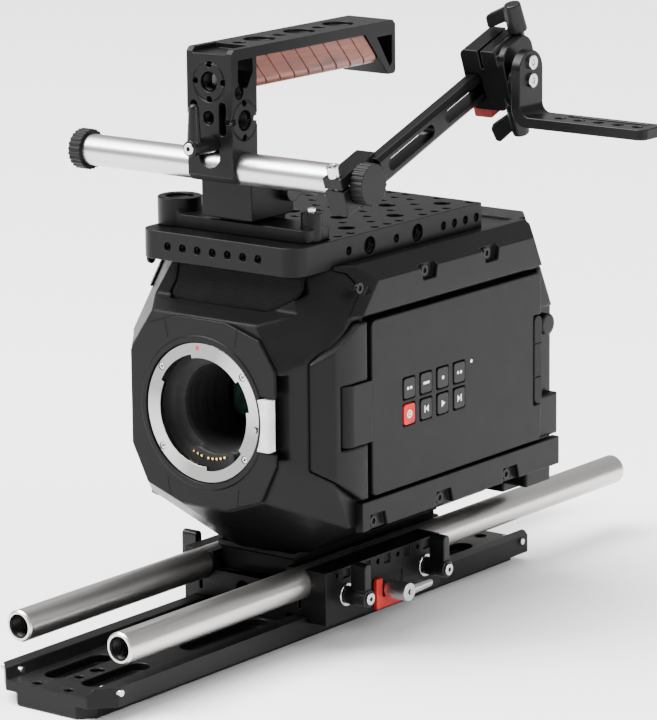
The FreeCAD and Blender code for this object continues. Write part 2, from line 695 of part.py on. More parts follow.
def mount_seat():
    """The black ring that the steel mount sits in."""
    outer, lip = "mount_radius + 2.9", "mount_radius + 0.05"
    seat = spun([(lip, -0.8), (outer, -0.8), (outer, 5.2), (29.6, 5.2), (29.6, 2.9), (lip, 2.9)],
                (0, 0, "lens_level"), "Y")
    return cut(seat, rod(1.6, 12, (31.2, -3, "lens_level - 4"), "Y"))


CLAWS = ((-36, 8), (40, 104), (153, 274))
MOUNT_SCREWS = [(31.1 * math.cos(math.radians(angle)), f"lens_level + {31.1 * math.sin(math.radians(angle))}")
                for angle in (40, 142, 218, 322)]


def lens_mount():
    """The steel bayonet ring: three claws inside it, and counterbored screw holes."""
    radius, inner = "mount_radius", "throat_radius + 0.8"
    ring = spun([(inner, 0), (f"{radius} - 0.5", 0), (radius, 0.5), (radius, 2.9), (29.4, 2.9), (29.4, 5.4),
                 (inner, 5.4)], (0, 0, "lens_level"), "Y")
    claws = []
    for start, end in CLAWS:
        sector = [(0, "lens_level")]
        for step in range(5):
            angle = math.radians(start + (end - start) * step / 4)
            sector.append((40 * math.cos(angle), f"lens_level + {40 * math.sin(angle)}"))
        claws.append(common(tube(28.4, "throat_radius - 1.1", 2, (0, 0, "lens_level"), "Y"),
                            slab("XZ", sector, -1, 5)))
    sinks = [rod(1.7, 2, (x, -0.8, z), "Y") for x, z in MOUNT_SCREWS]
    return cut(fuse(ring, *claws), *sinks, rod(1.45, 10, (31.2, -3, "lens_level - 4"), "Y"))


def mount_screws():
    screws = [cut(rod(1.6, 0.9, (x, 0.3, z), "Y"), rod(0.7, 1, (x, -0.3, z), "Y")) for x, z in MOUNT_SCREWS]
    return group(*screws)


def throat_baffle():
    """The ribbed black tube behind the mount."""
    points = [(29.9, 5.6), (29.9, 42), (18.6, 42)]
    ribs, pitch = 20, 1.3
    for rib in range(ribs):
        y = 41 - pitch * rib
        narrow = 18.4 + 0.1 * rib
        points += [(narrow + 0.7, y), (narrow, y - pitch / 2)]
    points += [(21.4, 12), (25.2, 11.4), (27.4, 9), (28.4, 5.6)]
    return spun(points, (0, 0, "lens_level"), "Y")


def contact_block():
    """The curved block of lens contacts at the bottom of the throat."""
    ring = tube(28.2, 21.6, 5.6, (0, 6.4, "lens_level"), "Y")
    return common(ring, span((-13, 13), (6, 13), ("lens_level - 30", "lens_level - 19.5")))


def contact_pins():
    pins = []
    for i in range(8):
        angle = math.radians(-90 - 26 + 6.2 * i + (4 if i > 2 else 0))
        pins.append(rod(0.55, 1.2, (23 * math.cos(angle), 5.2, f"lens_level + {23 * math.sin(angle)}"), "Y"))
    return group(*pins)


def sensor():
    """The image sensor behind its glass."""
    return span((-17, 17), (44, 46), ("lens_level - 11", "lens_level + 11"))


def main_board():
    return span((-46, 44), (56, 58), (70, 166))


def lens_release():
    """The pale button that frees the lens, in a pocket beside the mount."""
    cap = rounded(span((34, 41.4), (-3.2, 2.8), ("lens_level - 13", "lens_level + 11.4")), 1.2,
                  along("Z", lambda p: p.x > 40))
    return cut(cap, rod("mount_radius + 3.1", 12, (0, -6, "lens_level"), "Y"))


def lock_pin():
    """The pin that holds the lens; it draws back as the release is pressed."""
    return rod(1.4, 6.3, (31.2, -1, "lens_level - 4"), "Y")


GRILLE = ((-34, 50.5), (-32, 48.2), (-25.4, 46.6), (2.8, 46.2), (26.5, 48.1), (40.4, 55.6), (43.4, 60),
          (43.4, 66), (-31.5, 66), (-31.5, 57))


def grille_panel(scale, low, length):
    """A panel in the grille's outline, parallel to the sloped face above the lens, low behind its surface."""
    base, middle = 49, 56
    points = [(x * scale, middle - base + (z - middle) * scale) for x, z in GRILLE]
    sheet = slab("XZ", points, low, length)
    return place(group(sheet), (0, 17.8, f"lens_level + {base}"), Rotation(Vector(1, 0, 0), -13))


def grille():
    """The recessed panel above the lens, over an open space."""
    return group(grille_panel(0.985, 1.2, 0.8))


# ---------------------------------------------------------------- top plate
EDGE_HOLES = ((51.4, 2), (67.5, 4.2), (88.4, 2), (105.2, 4.2), (126.2, 2), (135.2, 2), (144.2, 2), (153.2, 2))


def top_plate():
    """The plate on the camera, with a staggered grid of threaded holes and more along its edges."""
    low = "body_top"
    corner = number("plate_corner")
    rear = "plate_front + plate_length"
    half = "plate_half"
    body = slab("XY", [(f"-{half}", "plate_front"), (half, "plate_front"), (half, rear), (f"-{half}", rear)],
                low, "plate_thickness")
    pitch = number("grid_pitch")
    first_row = 39.3
    small, large = [], []
    for column in range(5):
        for row in range(13):
            phase = row % 4
            is_large = (column == 3 and phase == 3) or (column == 1 and phase == 1)
            is_small = {0: phase != 1, 1: phase == 3, 2: row % 2 == 0, 3: phase == 1, 4: phase != 3}[column]
            for side in (-1, 1):
                spot = (side * (column + 0.5) * pitch, first_row + row * pitch * 1.005)
                if is_large:
                    large.append(spot + (4.2,))
                elif is_small:
                    small.append(spot + (2.1,))
    drill(body, "XY", small, 60)
    drill(body, "XY", large, 60)
    plate = rounded(body, corner, along("Z", lambda p: p.y < 20 and abs(p.x) > 40))
    level = f"{low} + plate_thickness / 2"
    tools = [rod(2, 6, (-29 + 9 * i, "plate_front - 1", level), "Y") for i in range(7)]
    for y, radius in EDGE_HOLES:
        for side in (-1, 1):
            start = "plate_half - 5" if side > 0 else "-plate_half - 1"
            tools.append(rod(radius, 6, (start, y, level), "X"))
    return cut(plate, *tools)


LUGS = ((-39, 33), (39.4, 33.4))


def nato_base():
    """The bracket on the top plate's front that carries the short rail."""
    deck = "body_top + plate_thickness"
    (left_x, left_y), (right_x, right_y) = LUGS
    bar = span((left_x, right_x + 4), (24, 44), (deck, f"{deck} + 6.4"))
    bar = rounded(bar, 4, along("Z", lambda p: p.x > right_x))
    lugs = [rod(10.6, 13.4, (left_x, left_y, deck)), rod(5, 13.5, (right_x, right_y, deck))]
    flare = common(taper(14.6, 10.6, 9, (left_x, left_y, deck)),
                   span((left_x, left_x + 19), (24, 44), (deck, f"{deck} + 12")))
    rail = slab("XZ", [(-8, 200), (8, 200), (8, 203.2), (10, 205.2), (10, 206.8), (-10, 206.8), (-10, 205.2),
                       (-8, 203.2)], 25, 31)
    post = span((-8, 8), (30, 54), (deck, 203))
    foot = span((-20, 20), (40, 56), (deck, f"{deck} + 3"))
    bores = [rod(4.2, 20, (left_x, left_y, f"{deck} - 1")), rod(6.8, 4, (left_x, left_y, f"{deck} + 11.4")),
             rod(2.05, 20, (right_x, right_y, f"{deck} - 1"))]
    return cut(fuse(bar, *lugs, flare, rail, post, foot), *bores)


def nato_screws():
    deck = "body_top + plate_thickness"
    (left_x, left_y), (right_x, right_y) = LUGS
    big = cut(rod(4.1, 9, (left_x, left_y, deck)), rod(2.4, 4, (left_x, left_y, f"{deck} + 6.5")))
    small = cut(rod(2.0, 15.4, (right_x, right_y, deck)), rod(0.9, 3, (right_x, right_y, f"{deck} + 14")))
    return group(big, small)


# ---------------------------------------------------------------- handle
def riser_block():
    """The clamp that slides forward off the short rail and carries the handle; its front end is closed."""
    block = span((-15, 15), (20, 51.4), (202.2, "handle_bottom"))
    channel = slab("XZ", [(-8.15, 199), (8.15, 199), (8.15, 203.1), (10.2, 205.1), (10.2, 207), (-10.2, 207),
                          (-10.2, 205.1), (-8.15, 203.1)], 24, 30)
    groove = rod("rod_radius + 0.15", 40, (-20, "hinge_along", "hinge_level"), "X")
    return cut(block, channel, groove)


def clamp_bolt_lever():
    """The round-headed lever on the riser's right side that tightens it on the rail."""
    y, z = 45.6, 213.4
    head = rod(4.8, 4.4, (15.2, y, z), "X")
    arm = span((16.2, 19.4), (y, y + 14), (z - 2.6, z + 2.6))
    tip = rod(2.6, 3.2, (16.2, y + 14, z), "X")
    return fuse(head, arm, tip)


TOP_HOLES = (46, 76, 106)


def locating_hole(at, axis, inward):
    """A large threaded hole with a shallow ring and four pin holes around it, cut in from a face."""
    x, y, z = at

    def cutter(radius, depth, a=0.0, b=0.0):
        start, length = (-1, depth + 1) if inward > 0 else (-depth, depth + 1)
        if axis == "Y":
            return rod(radius, length, (x + a, f"({y}) + {start}", z + b), "Y")
        return rod(radius, length, (f"({x}) + {start}", f"({y}) + {a}", z + b), "X")

    ring = cut(cutter(9.5, 0.5), cutter(8.7, 1.5))
    pins = [cutter(1.5, 5, 8.1 * a, 8.1 * b) for a, b in ((1, 0), (-1, 0), (0, 1), (0, -1))]
    return [ring, cutter(4.76, 9), *pins]


def handle_frame():
    """Post, top bar and rear lug in one piece."""
    front, top, end = "handle_front", "handle_top", "handle_end"
    post_rear = "handle_front + handle_depth"
    under = "handle_top - bar_thickness"
    side = [(front, "handle_bottom + 3"), (f"{front} + 3", "handle_bottom"), (post_rear, "handle_bottom"),
            (post_rear, under), (110, under), (128, 257.4), (f"{end} - 1", 257.4), (end, 258.4),
            (end, f"{top} - 2"), (f"{end} - 2", top), (f"{front} + 2", top), (front, f"{top} - 2")]
    frame = slab("YZ", side, "-handle_half", "2 * handle_half")
    middle = "handle_front + handle_depth / 2"
    tools = [
        slab("YZ", [(13.2, 278.2), (24.2, 278.2), (24.2, 272), (20, 265.2), (16, 265), (13.2, 268)], -20, 40),
        slab("YZ", [(119.4, 276.4), (131.2, 276.4), (131.2, 263), (129.4, 261.4)], -20, 40),
        rod("rod_radius + running_gap", 40, (-20, "hinge_along", "hinge_level"), "X"),
        rod(6.2, 12, (-0.6, "handle_front - 1", 234), "Y"),
        rod(2.05, 12, (CLAMP_ACROSS, "handle_front - 1", CLAMP_LEVEL), "Y"),
        rod(3.2, 9, (-0.7, "handle_front - 1", 251.2), "Y"),
        rod(3.2, 40, (-20, 14, 263.4), "X"),
        span((-9.8, 9.8), (8, 26.6), (f"{top} - 2.6", f"{top} + 1")),
        *locating_hole((-0.2, front, 268), "Y", 1),
        *locating_hole(("handle_half", middle, 250), "X", -1),
        *locating_hole(("-handle_half", middle, 250), "X", 1),
    ]
    for x in (-9.5, 7.4):
        tools.append(fuse(span((x - 2.1, x + 2.1), ("handle_front - 1", "handle_front + 6"), (245.4, 256.8)),
                          rod(2.1, 7, (x, "handle_front - 1", 245.4), "Y"),
                          rod(2.1, 7, (x, "handle_front - 1", 256.8), "Y")))
    for y in TOP_HOLES:
        tools.append(rod(7.6, 3, (0, y, f"{top} - 1.6")))
        tools.append(rod(5.2, 12, (0, y, f"{top} - 10")))
        tools.append(rod(3.2, 12, (0, y - 15, f"{top} - 10")))
    return cut(frame, *tools)


def wood_grip():
    """The wooden grip under the bar, with slanting grooves round its sides and underside."""
    under = "handle_top - bar_thickness"
    start = "handle_front + handle_depth + 0.2"
    side = [(start, 263.4), (122.4, 263.4), (109.6, f"{under} - 0.05"), (start, f"{under} - 0.05")]
    grip = rounded(slab("YZ", side, -12.6, 25.2), 5, along("Y", lambda p: p.z < 265))
    core = rounded(span((-12, 12), (20, 130), (264, 282)), 4.4, along("Y", lambda p: p.z < 265))
    lean = Rotation(Vector(1, 0, 0), -48)
    grooves = []
    for i in range(9):
        corner = Vector(0, 31 + 10.7 * i, 271) + lean.multVec(Vector(-14, -15, -0.35))
        grooves.append(box((28, 30, 0.7), tuple(corner), lean))
    return cut(grip, cut(group(*grooves), core))


def grip_screws():
    """The grip's screws, seen through the bar's large holes."""
    level = "handle_top - bar_thickness"
    return group(*[cut(rod(4, 2, (0, y, level)), rod(1.5, 2, (0, y, f"{level} + 1"))) for y in TOP_HOLES])


CLAMP_ACROSS, CLAMP_LEVEL = 1.8, 239.4


def rod_lever():
    """The lever on the post's front that clamps the upper rod."""
    boss = rod(3.8, 16.4, (CLAMP_ACROSS, "handle_front - 17.2", CLAMP_LEVEL), "Y")
    arm = taper(3.4, 2.4, 18, (CLAMP_ACROSS, "handle_front - 13.7", CLAMP_LEVEL))
    tip = ball(2.4, (CLAMP_ACROSS, "handle_front - 13.7", CLAMP_LEVEL + 18))
    return cut(fuse(boss, arm, tip), rod(2.05, 20, (CLAMP_ACROSS, "handle_front - 19", CLAMP_LEVEL), "Y"))


def rod_lever_stud():
    return fuse(rod(2.0, 18.4, (CLAMP_ACROSS, "handle_front - 17.2", CLAMP_LEVEL), "Y"),
                rod(2.7, 0.9, (CLAMP_ACROSS, "handle_front - 18.1", CLAMP_LEVEL), "Y"))


def upper_rod():
    radius, hollow, length = "rod_radius", "rod_hollow", "upper_length"
    section = [(hollow, 0), (radius, 0), (radius, length), (hollow, length)]
    return spun(section, ("upper_left", "hinge_along", "hinge_level"), "X")


def knurled_cap(at, teeth=24):
    """A cap with grooves cut across its rim."""
    cap = rod(9.7, 7, at, "X")
    grooves = []
    for i in range(teeth):
        angle = 2 * math.pi * i / teeth
        spot = (f"({at[0]}) - 1", f"({at[1]}) + {10.1 * math.cos(angle)}",
                f"({at[2]}) + {10.1 * math.sin(angle)}")
        grooves.append(rod(0.9, 9, spot, "X"))
    return cut(cap, *grooves)


def rod_cap(side):
    stem_length = 9
    if side < 0:
        face, stem = "upper_left - 7", "upper_left"
    else:
        face, stem = "upper_left + upper_length", f"upper_left + upper_length - {stem_length}"
    return fuse(knurled_cap((face, "hinge_along", "hinge_level")),
                rod("rod_hollow - 0.02", stem_length, (stem, "hinge_along", "hinge_level"), "X"))


# ---------------------------------------------------------------- viewfinder arm, drawn level at the hinge
def finder_arm():
    head = span((69.8, 80.1), (-13.6, 14), (-9.4, 8.8))
    inner, width, half = "arm_inner", "arm_width", "arm_half"
    bevel = 1.8
    beam = slab("XZ", [(f"{inner} + {bevel}", f"-{half}"), (f"{inner} + {width} - {bevel}", f"-{half}"),
                       (f"{inner} + {width}", f"-{half} + {bevel}"), (f"{inner} + {width}", f"{half} - {bevel}"),
                       (f"{inner} + {width} - {bevel}", half), (f"{inner} + {bevel}", half),
                       (inner, f"{half} - {bevel}"), (inner, f"-{half} + {bevel}")], 11.2, "arm_reach - 11.2")
    tools = [rod("rod_radius + running_gap", 20, (68, 0, 0), "X"),
             span((68, 82), (-15, 0), (2.4, 3.6)),
             rod(1.95, 30, (75, -10.6, -15))]
    tools += [slot(3.0, (70, 90), (start, end), (-3.0, 3.0), "X") for start, end in ((20, 51), (66.5, 113))]
    return on_arm(cut(fuse(head, beam), *tools))


def arm_screw():
    screw = fuse(rod(3.1, 5.2, (75, -10.6, 8.8)), rod(1.9, 14, (75, -10.6, -5)))
    return on_arm(cut(screw, rod(1.5, 3, (75, -10.6, 11.2))))


WINGS = {"top": (94.4, 116.2, 19.8), "bottom": (94, 103, -13.6)}


def sliding_block():
    """The split block that slides along the arm and holds the bracket's pivot."""
    start, end = "block_along", "block_along + block_depth"
    block = rounded(span((75, 95.6), (start, end), (-11.6, 19.4)), 3.5, along("Y"))
    plate = rounded(span((95.5, 99), (start, end), (-11.6, 19.4)), 8, along("X"))
    half = number("arm_half") + 0.2
    inner, outer = number("arm_inner") - 0.2, number("arm_inner") + number("arm_width") + 0.2
    channel = slab("XZ", [(inner + 1.8, -half), (outer - 1.8, -half), (outer, -half + 1.8), (outer, half - 1.8),
                          (outer - 1.8, half), (inner + 1.8, half), (inner, half - 1.8), (70, half - 1.8),
                          (70, -half + 1.8), (inner, -half + 1.8)], "block_along - 1", "block_depth + 2")
    split = span((85.6, 87), (f"{start} - 1", f"{end} + 1"), (10, 20))
    bores = [rod(2.55, 30, WINGS["top"][:2] + (8,)), rod(2.1, 30, WINGS["bottom"][:2] + (-30,)),
             rod(3.05, 30, (80, "pivot_reach", "pivot_rise"), "X")]
    return on_arm(cut(fuse(block, plate), channel, split, *bores))


def block_pad():
    """The red pad under the arm."""
    return on_arm(span((75.4, 85), ("block_along + 0.6", "block_along + 15"), (-16.2, -11.6)))


def wing(side, blade):
    """A wing lever: a tapered boss on a stem, with a paddle to one side, drawn as (across, out) points."""
    x, y, face = WINGS[side]
    out = 1 if side == "top" else -1
    height = 14
    boss = taper(4.7, 3.9, height, (x, y, face))
    stem = rod(2.5 if side == "top" else 2.0, 12, (x, y, face - 10))
    if out < 0:
        boss = taper(3.9, 4.7, height, (x, y, face - height))
        stem = rod(2.0, 12, (x, y, face - 2))
    paddle = slab("XZ", [(x + across, face + out * rise) for across, rise in blade], y - 2.2, 4.4)
    return on_arm(fuse(boss, stem, paddle))


def top_wing():
    return wing("top", [(0, 13), (-4, 12.4), (-14.8, 7.4), (-15.6, 6.2), (-15.6, 1.6), (-14.2, 0.8), (-4, 5.4),
                        (0, 5.4)])


def bottom_wing():
    return wing("bottom", [(0, 2), (-4, 3), (-14.4, 9.6), (-16, 12.2), (-14.4, 18.4), (-12, 18.8), (-4, 12.4),
                           (0, 11)])


def pivot_spot():
    """The bracket's pivot, (along, height), with the arm at rest."""
    tilt = "arm_tilt * 1 deg"
    return (f"hinge_along + pivot_reach * cos({tilt}) - pivot_rise * sin({tilt})",
            f"hinge_level + pivot_reach * sin({tilt}) + pivot_rise * cos({tilt})")


SHELF_TOP = 249


def bracket():
    """The bent bracket that carries the viewfinder: a round-topped leg and a slotted shelf."""
    y, z = pivot_spot()
    half, inner = "bracket_half", "bracket_inner"
    outer = "bracket_inner + bracket_thickness"
    crown_level = f"{z} + 4.6"
    low = f"{SHELF_TOP} - bracket_thickness"
    leg = span((inner, outer), (f"{y} - {half}", f"{y} + {half}"), (low, crown_level))
    crown = rod(half, "bracket_thickness", (inner, y, crown_level), "X")
    shelf = span((inner, "bracket_end"), (f"{y} - {half}", f"{y} + {half}"), (low, SHELF_TOP))
    solid = rounded(fuse(leg, crown, shelf), 9, along("Y", lambda p: p.x < 104 and p.z < SHELF_TOP))
    solid = rounded(solid, 5, along("Y", lambda p: 107 < p.x < 109 and p.z < SHELF_TOP + 1))
    solid = rounded(solid, 4, along("Z", lambda p: p.x > 170))
    tools = [rod(2.6, 10, (f"126 + 10.6 * {i}", f"{y} - 2.6", SHELF_TOP - 8)) for i in range(5)]
    tools.append(fuse(span((128, 168), (f"{y} + 2.6", f"{y} + 6.6"), (SHELF_TOP - 8, SHELF_TOP + 2)),
                      *[rod(2, 10, (x, f"{y} + 4.6", SHELF_TOP - 8)) for x in (128, 168)]))
    spigot = rod(3.0, 20, (f"{inner} - 18", y, z), "X")
    spacer = rod(7.2, 3.4, (f"{inner} - 3.4", y, z), "X")
    return fuse(cut(solid, *tools), spigot, spacer)


def bracket_screws():
    y, z = pivot_spot()
    screws = []
    for step in (0, 8.4):
        spot = ("bracket_inner + bracket_thickness", y, f"{z} + {step}")
        screws.append(cut(rod(3.3, 1.5, spot, "X"), rod(1.3, 2, (f"({spot[0]}) + 0.7", y, spot[2]), "X")))
    return group(*screws)


# ---------------------------------------------------------------- the assembly
node("dovetail_plate", dovetail_plate())
node("stop_pins", stop_pins())
node("bridge_body", bridge_body())
node("camera_plate", camera_plate())
node("rod_left", lower_rod(-1))
node("rod_right", lower_rod(1))
for which, spec in LEVERS.items():
    node(f"rod_lever_{which}", clamp_lever(*spec))
node("lever_studs", lever_studs())
node("lock_lever", lock_lever())
node("lock_jaw", lock_jaw())
node("safety_catch", safety_catch())
node("body_shell", body_shell())
node("rear_shell", rear_shell())
node("battery_plate", battery_plate())
node("side_rails", group(upper_rails(), lower_rails()))
node("case_screws", group(rail_screws(), mount_screws(), nato_screws()))
node("hinge_cover", hinge_cover())
node("hinge_block", hinge_block())
node("door_shell", door_shell())
node("door_screen", door_screen())
for index, (along_key, level_key) in enumerate(KEYS, 1):
    node(f"key_{index}", key(along_key, level_key))
node("edge_strip", edge_strip())
node("left_panel", left_panel())
node("grip_mount", grip_mount())
node("front_bezel", fuse(front_bezel(), mount_seat()))
node("lens_mount", lens_mount())
node("throat_baffle", fuse(throat_baffle(), contact_block()))
node("contact_pins", contact_pins())
node("inner_boards", group(sensor(), main_board()))
node("lens_release", lens_release())
node("lock_pin", lock_pin())
node("grille", grille())
node("top_plate", top_plate())
node("nato_base", nato_base())
node("riser_block", riser_block())
node("riser_lever", clamp_bolt_lever())
node("handle_frame", handle_frame())
node("wood_grip", wood_grip())
node("rod_lever_top", rod_lever())
node("handle_screws", group(rod_lever_stud(), grip_screws()))
node("upper_rod", upper_rod())
node("rod_cap_left", rod_cap(-1))
node("rod_cap_right", rod_cap(1))
node("finder_arm", finder_arm())
node("arm_screw", arm_screw())
node("sliding_block", sliding_block())
node("block_pad", block_pad())
node("top_wing", top_wing())
node("bottom_wing", bottom_wing())
node("bracket", bracket())
node("bracket_screws", bracket_screws())
doc.recompute()

# ---------------------------------------------------------------- checks and files
for thing in doc.Objects:
    if {"Invalid", "Error"} & set(thing.State):
        raise RuntimeError(f"{thing.Name} ({thing.Label}) did not build: {thing.State}")
os.makedirs("parts", exist_ok=True)
for name, thing in NODES.items():
    shape = thing.Shape
    if shape.isNull() or not shape.isValid() or not shape.Solids:
        raise RuntimeError(f"{name} has no valid solid")
    shape.exportStep(os.path.join("parts", name + ".step"))
    print(f"{name:18s} {len(shape.Solids):3d} solids {shape.Volume / 1000:9.2f} cm3")
print(len(NODES), "nodes")
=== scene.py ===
import json
import math

import bmesh
import bpy
from mathutils import Matrix, Vector


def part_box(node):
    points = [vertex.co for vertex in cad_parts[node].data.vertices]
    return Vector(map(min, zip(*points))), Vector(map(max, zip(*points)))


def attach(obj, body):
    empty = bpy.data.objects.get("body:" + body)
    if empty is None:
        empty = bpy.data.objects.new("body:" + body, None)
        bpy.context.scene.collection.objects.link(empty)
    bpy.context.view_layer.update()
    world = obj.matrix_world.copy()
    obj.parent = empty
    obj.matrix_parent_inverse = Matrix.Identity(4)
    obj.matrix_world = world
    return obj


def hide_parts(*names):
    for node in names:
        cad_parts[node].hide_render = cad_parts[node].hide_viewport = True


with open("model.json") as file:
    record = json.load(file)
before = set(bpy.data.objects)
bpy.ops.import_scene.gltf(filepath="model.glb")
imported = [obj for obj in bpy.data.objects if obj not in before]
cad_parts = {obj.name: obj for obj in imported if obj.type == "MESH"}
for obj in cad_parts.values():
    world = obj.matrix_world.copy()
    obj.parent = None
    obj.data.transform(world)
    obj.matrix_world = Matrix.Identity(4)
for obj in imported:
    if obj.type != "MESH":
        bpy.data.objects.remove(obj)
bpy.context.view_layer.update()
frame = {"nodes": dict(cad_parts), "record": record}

MM = 0.001
BODIES = frame["record"]["behaviour"]["bodies"]
BODY_OF = {node: body for body, nodes in BODIES.items() for node in nodes}
SLOT_OF = {part["node"]: part["material_slot"] for part in frame["record"]["subparts"]}


# ---------------------------------------------------------------- shader helpers
BEVEL_SAMPLES = 4
BLACK_SPECULAR = 0.12   # black parts mirror little of the white room
PAINT_SPECULAR = 0.18
RUBBER_SPECULAR = 0.25


class Shader:
    """A node material built up step by step."""

    def __init__(self, name):
        self.material = bpy.data.materials.new(name)
        self.material.use_nodes = True
        self.tree = self.material.node_tree
        self.surface = self.tree.nodes["Principled BSDF"]
        self.coords = self.add("ShaderNodeTexCoord").outputs["Object"]

    def add(self, kind, inputs=None, **settings):
        node = self.tree.nodes.new(kind)
        for key, value in settings.items():
            setattr(node, key, value)
        for key, value in (inputs or {}).items():
            if isinstance(value, bpy.types.NodeSocket):
                self.tree.links.new(value, node.inputs[key])
            else:
                node.inputs[key].default_value = value
        return node

    def set(self, **values):
        """Sets sockets of the surface: underscores stand for spaces."""
        for key, value in values.items():
            socket = self.surface.inputs[key.replace("_", " ")]
            if isinstance(value, bpy.types.NodeSocket):
                self.tree.links.new(value, socket)
            else:
                socket.default_value = value
        return self

    def place(self, scale=(1, 1, 1), shift=(0, 0, 0), turn=(0, 0, 0)):
        """The object's own coordinates, moved, turned and scaled."""
        moved = self.add("ShaderNodeMapping",
                         {"Vector": self.coords, "Location": shift, "Rotation": turn})
        return self.add("ShaderNodeMapping", {"Vector": moved.outputs[0], "Scale": scale}).outputs[0]

    def noise(self, size, detail=2.0, rough=0.5, vector=None, warp=0.0):
        """Noise with features of a size in metres."""
        node = self.add("ShaderNodeTexNoise", {
            "Vector": vector or self.coords, "Scale": 1 / size, "Detail": detail,
            "Roughness": rough, "Distortion": warp})
        return node.outputs["Fac"]

    def ramp(self, value, *stops):
        """A colour ramp from (position, grey or colour) stops."""
        node = self.add("ShaderNodeValToRGB", {"Fac": value})
        elements = node.color_ramp.elements
        while len(elements) < len(stops):
            elements.new(0.5)
        for element, (position, colour) in zip(elements, stops):
            element.position = position
            grey = isinstance(colour, (int, float))
            element.color = (colour, colour, colour, 1) if grey else (*colour, 1)
        return node.outputs["Color"]

    def shades(self, value, low, high):
        """Two colours blended over the middle of a value's range."""
        return self.ramp(value, (0.3, low), (0.7, high))

    def between(self, value, low, high):
        """A value in 0 to 1 mapped to low to high."""
        node = self.add("ShaderNodeMapRange", {"Value": value, "To Min": low, "To Max": high})
        return node.outputs["Result"]

    def math(self, operation, a, b=0.0):
        """One step of arithmetic on sockets or numbers."""
        node = self.add("ShaderNodeMath", operation=operation)
        for socket, value in zip(node.inputs, (a, b)):
            if isinstance(value, bpy.types.NodeSocket):
                self.tree.links.new(value, socket)
            else:
                socket.default_value = value
        return node.outputs[0]

    def mix(self, factor, first, second, blend="MIX"):
        """Two colours mixed by a factor. Inputs 6 and 7 and output 2 are the node's colour sockets."""
        node = self.add("ShaderNodeMix", data_type="RGBA", blend_type=blend)
        for place, value in ((0, factor), (6, first), (7, second)):
            if isinstance(value, bpy.types.NodeSocket):
                self.tree.links.new(value, node.inputs[place])
            else:
                node.inputs[place].default_value = value if place == 0 else (*value, 1)
        return node.outputs[2]

    def bump(self, height, depth, strength=1.0, below=None):
        """Bump with a depth in metres."""
        inputs = {"Height": height, "Distance": depth, "Strength": strength}
        if below:
            inputs["Normal"] = below
        return self.add("ShaderNodeBump", inputs).outputs[0]

    def edges(self, reach):
        """1 within reach of a sharp edge, 0 elsewhere, in metres."""
        true = self.add("ShaderNodeNewGeometry").outputs["Normal"]
        turn = self.add("ShaderNodeVectorMath", {0: self.softened(reach), 1: true},
                        operation="DOT_PRODUCT").outputs["Value"]
        return self.ramp(turn, (0.8, 1), (0.995, 0))

    def softened(self, reach):
        """A normal with its edges rounded, to bump on top of."""
        return self.add("ShaderNodeBevel", {"Radius": reach}, samples=BEVEL_SAMPLES).outputs[0]


# ---------------------------------------------------------------- materials
def anodised(name, shade, roughness):
    """Bead-blasted black anodised aluminium, a little worn along its edges."""
    s = Shader(name)
    patches = s.noise(0.05, 3)
    dust = s.noise(0.0016, 4, 0.7)
    base = s.shades(patches, (shade * 0.9, shade * 0.9, shade * 0.94), (shade * 1.15,) * 3)
    worn = s.math("MULTIPLY", s.edges(0.00035), s.ramp(dust, (0.4, 0), (0.65, 1)))
    bare = (0.1, 0.1, 0.1)
    s.set(Base_Color=s.mix(s.math("MULTIPLY", worn, 0.6), base, bare))
    s.set(Roughness=s.between(s.noise(0.004, 4, 0.65), roughness - 0.05, roughness + 0.07))
    blasting = s.bump(s.noise(0.00012, 2), 0.000012, 0.5)
    return s.set(Normal=blasting, Specular_IOR_Level=BLACK_SPECULAR).material


def moulded(name, shade, roughness, corner=0.0):
    """Moulded plastic with a fine spark-eroded texture and corners of a radius."""
    s = Shader(name)
    base = s.shades(s.noise(0.03, 3), [c * 0.92 for c in shade], [c * 1.1 for c in shade])
    s.set(Base_Color=base)
    s.set(Roughness=s.between(s.noise(0.006, 3), roughness - 0.05, roughness + 0.08))
    under = s.softened(corner) if corner else None
    fine = s.bump(s.noise(0.0005, 3, 0.6), 0.00003, 0.7, under)
    waves = s.bump(s.noise(0.02, 2), 0.00003, 0.5, fine)
    return s.set(Normal=waves, Specular_IOR_Level=BLACK_SPECULAR).material


def steel(name, axis, shade, roughness):
    """Satin metal with long, fine draw marks along an axis."""
    s = Shader(name)
    stretch = [1, 1, 1]
    stretch["XYZ".index(axis)] = 0.012
    marks = s.noise(0.0012, 4, 0.6, s.place(stretch))
    tone = s.shades(marks, [c * 0.95 for c in shade], [c * 1.03 for c in shade])
    streaks = s.between(marks, roughness - 0.01, roughness + 0.01)
    smudges = s.between(s.noise(0.03, 2), -0.01, 0.02)
    rough = s.math("ADD", streaks, smudges)
    return s.set(Base_Color=tone, Metallic=1.0, Roughness=rough).material


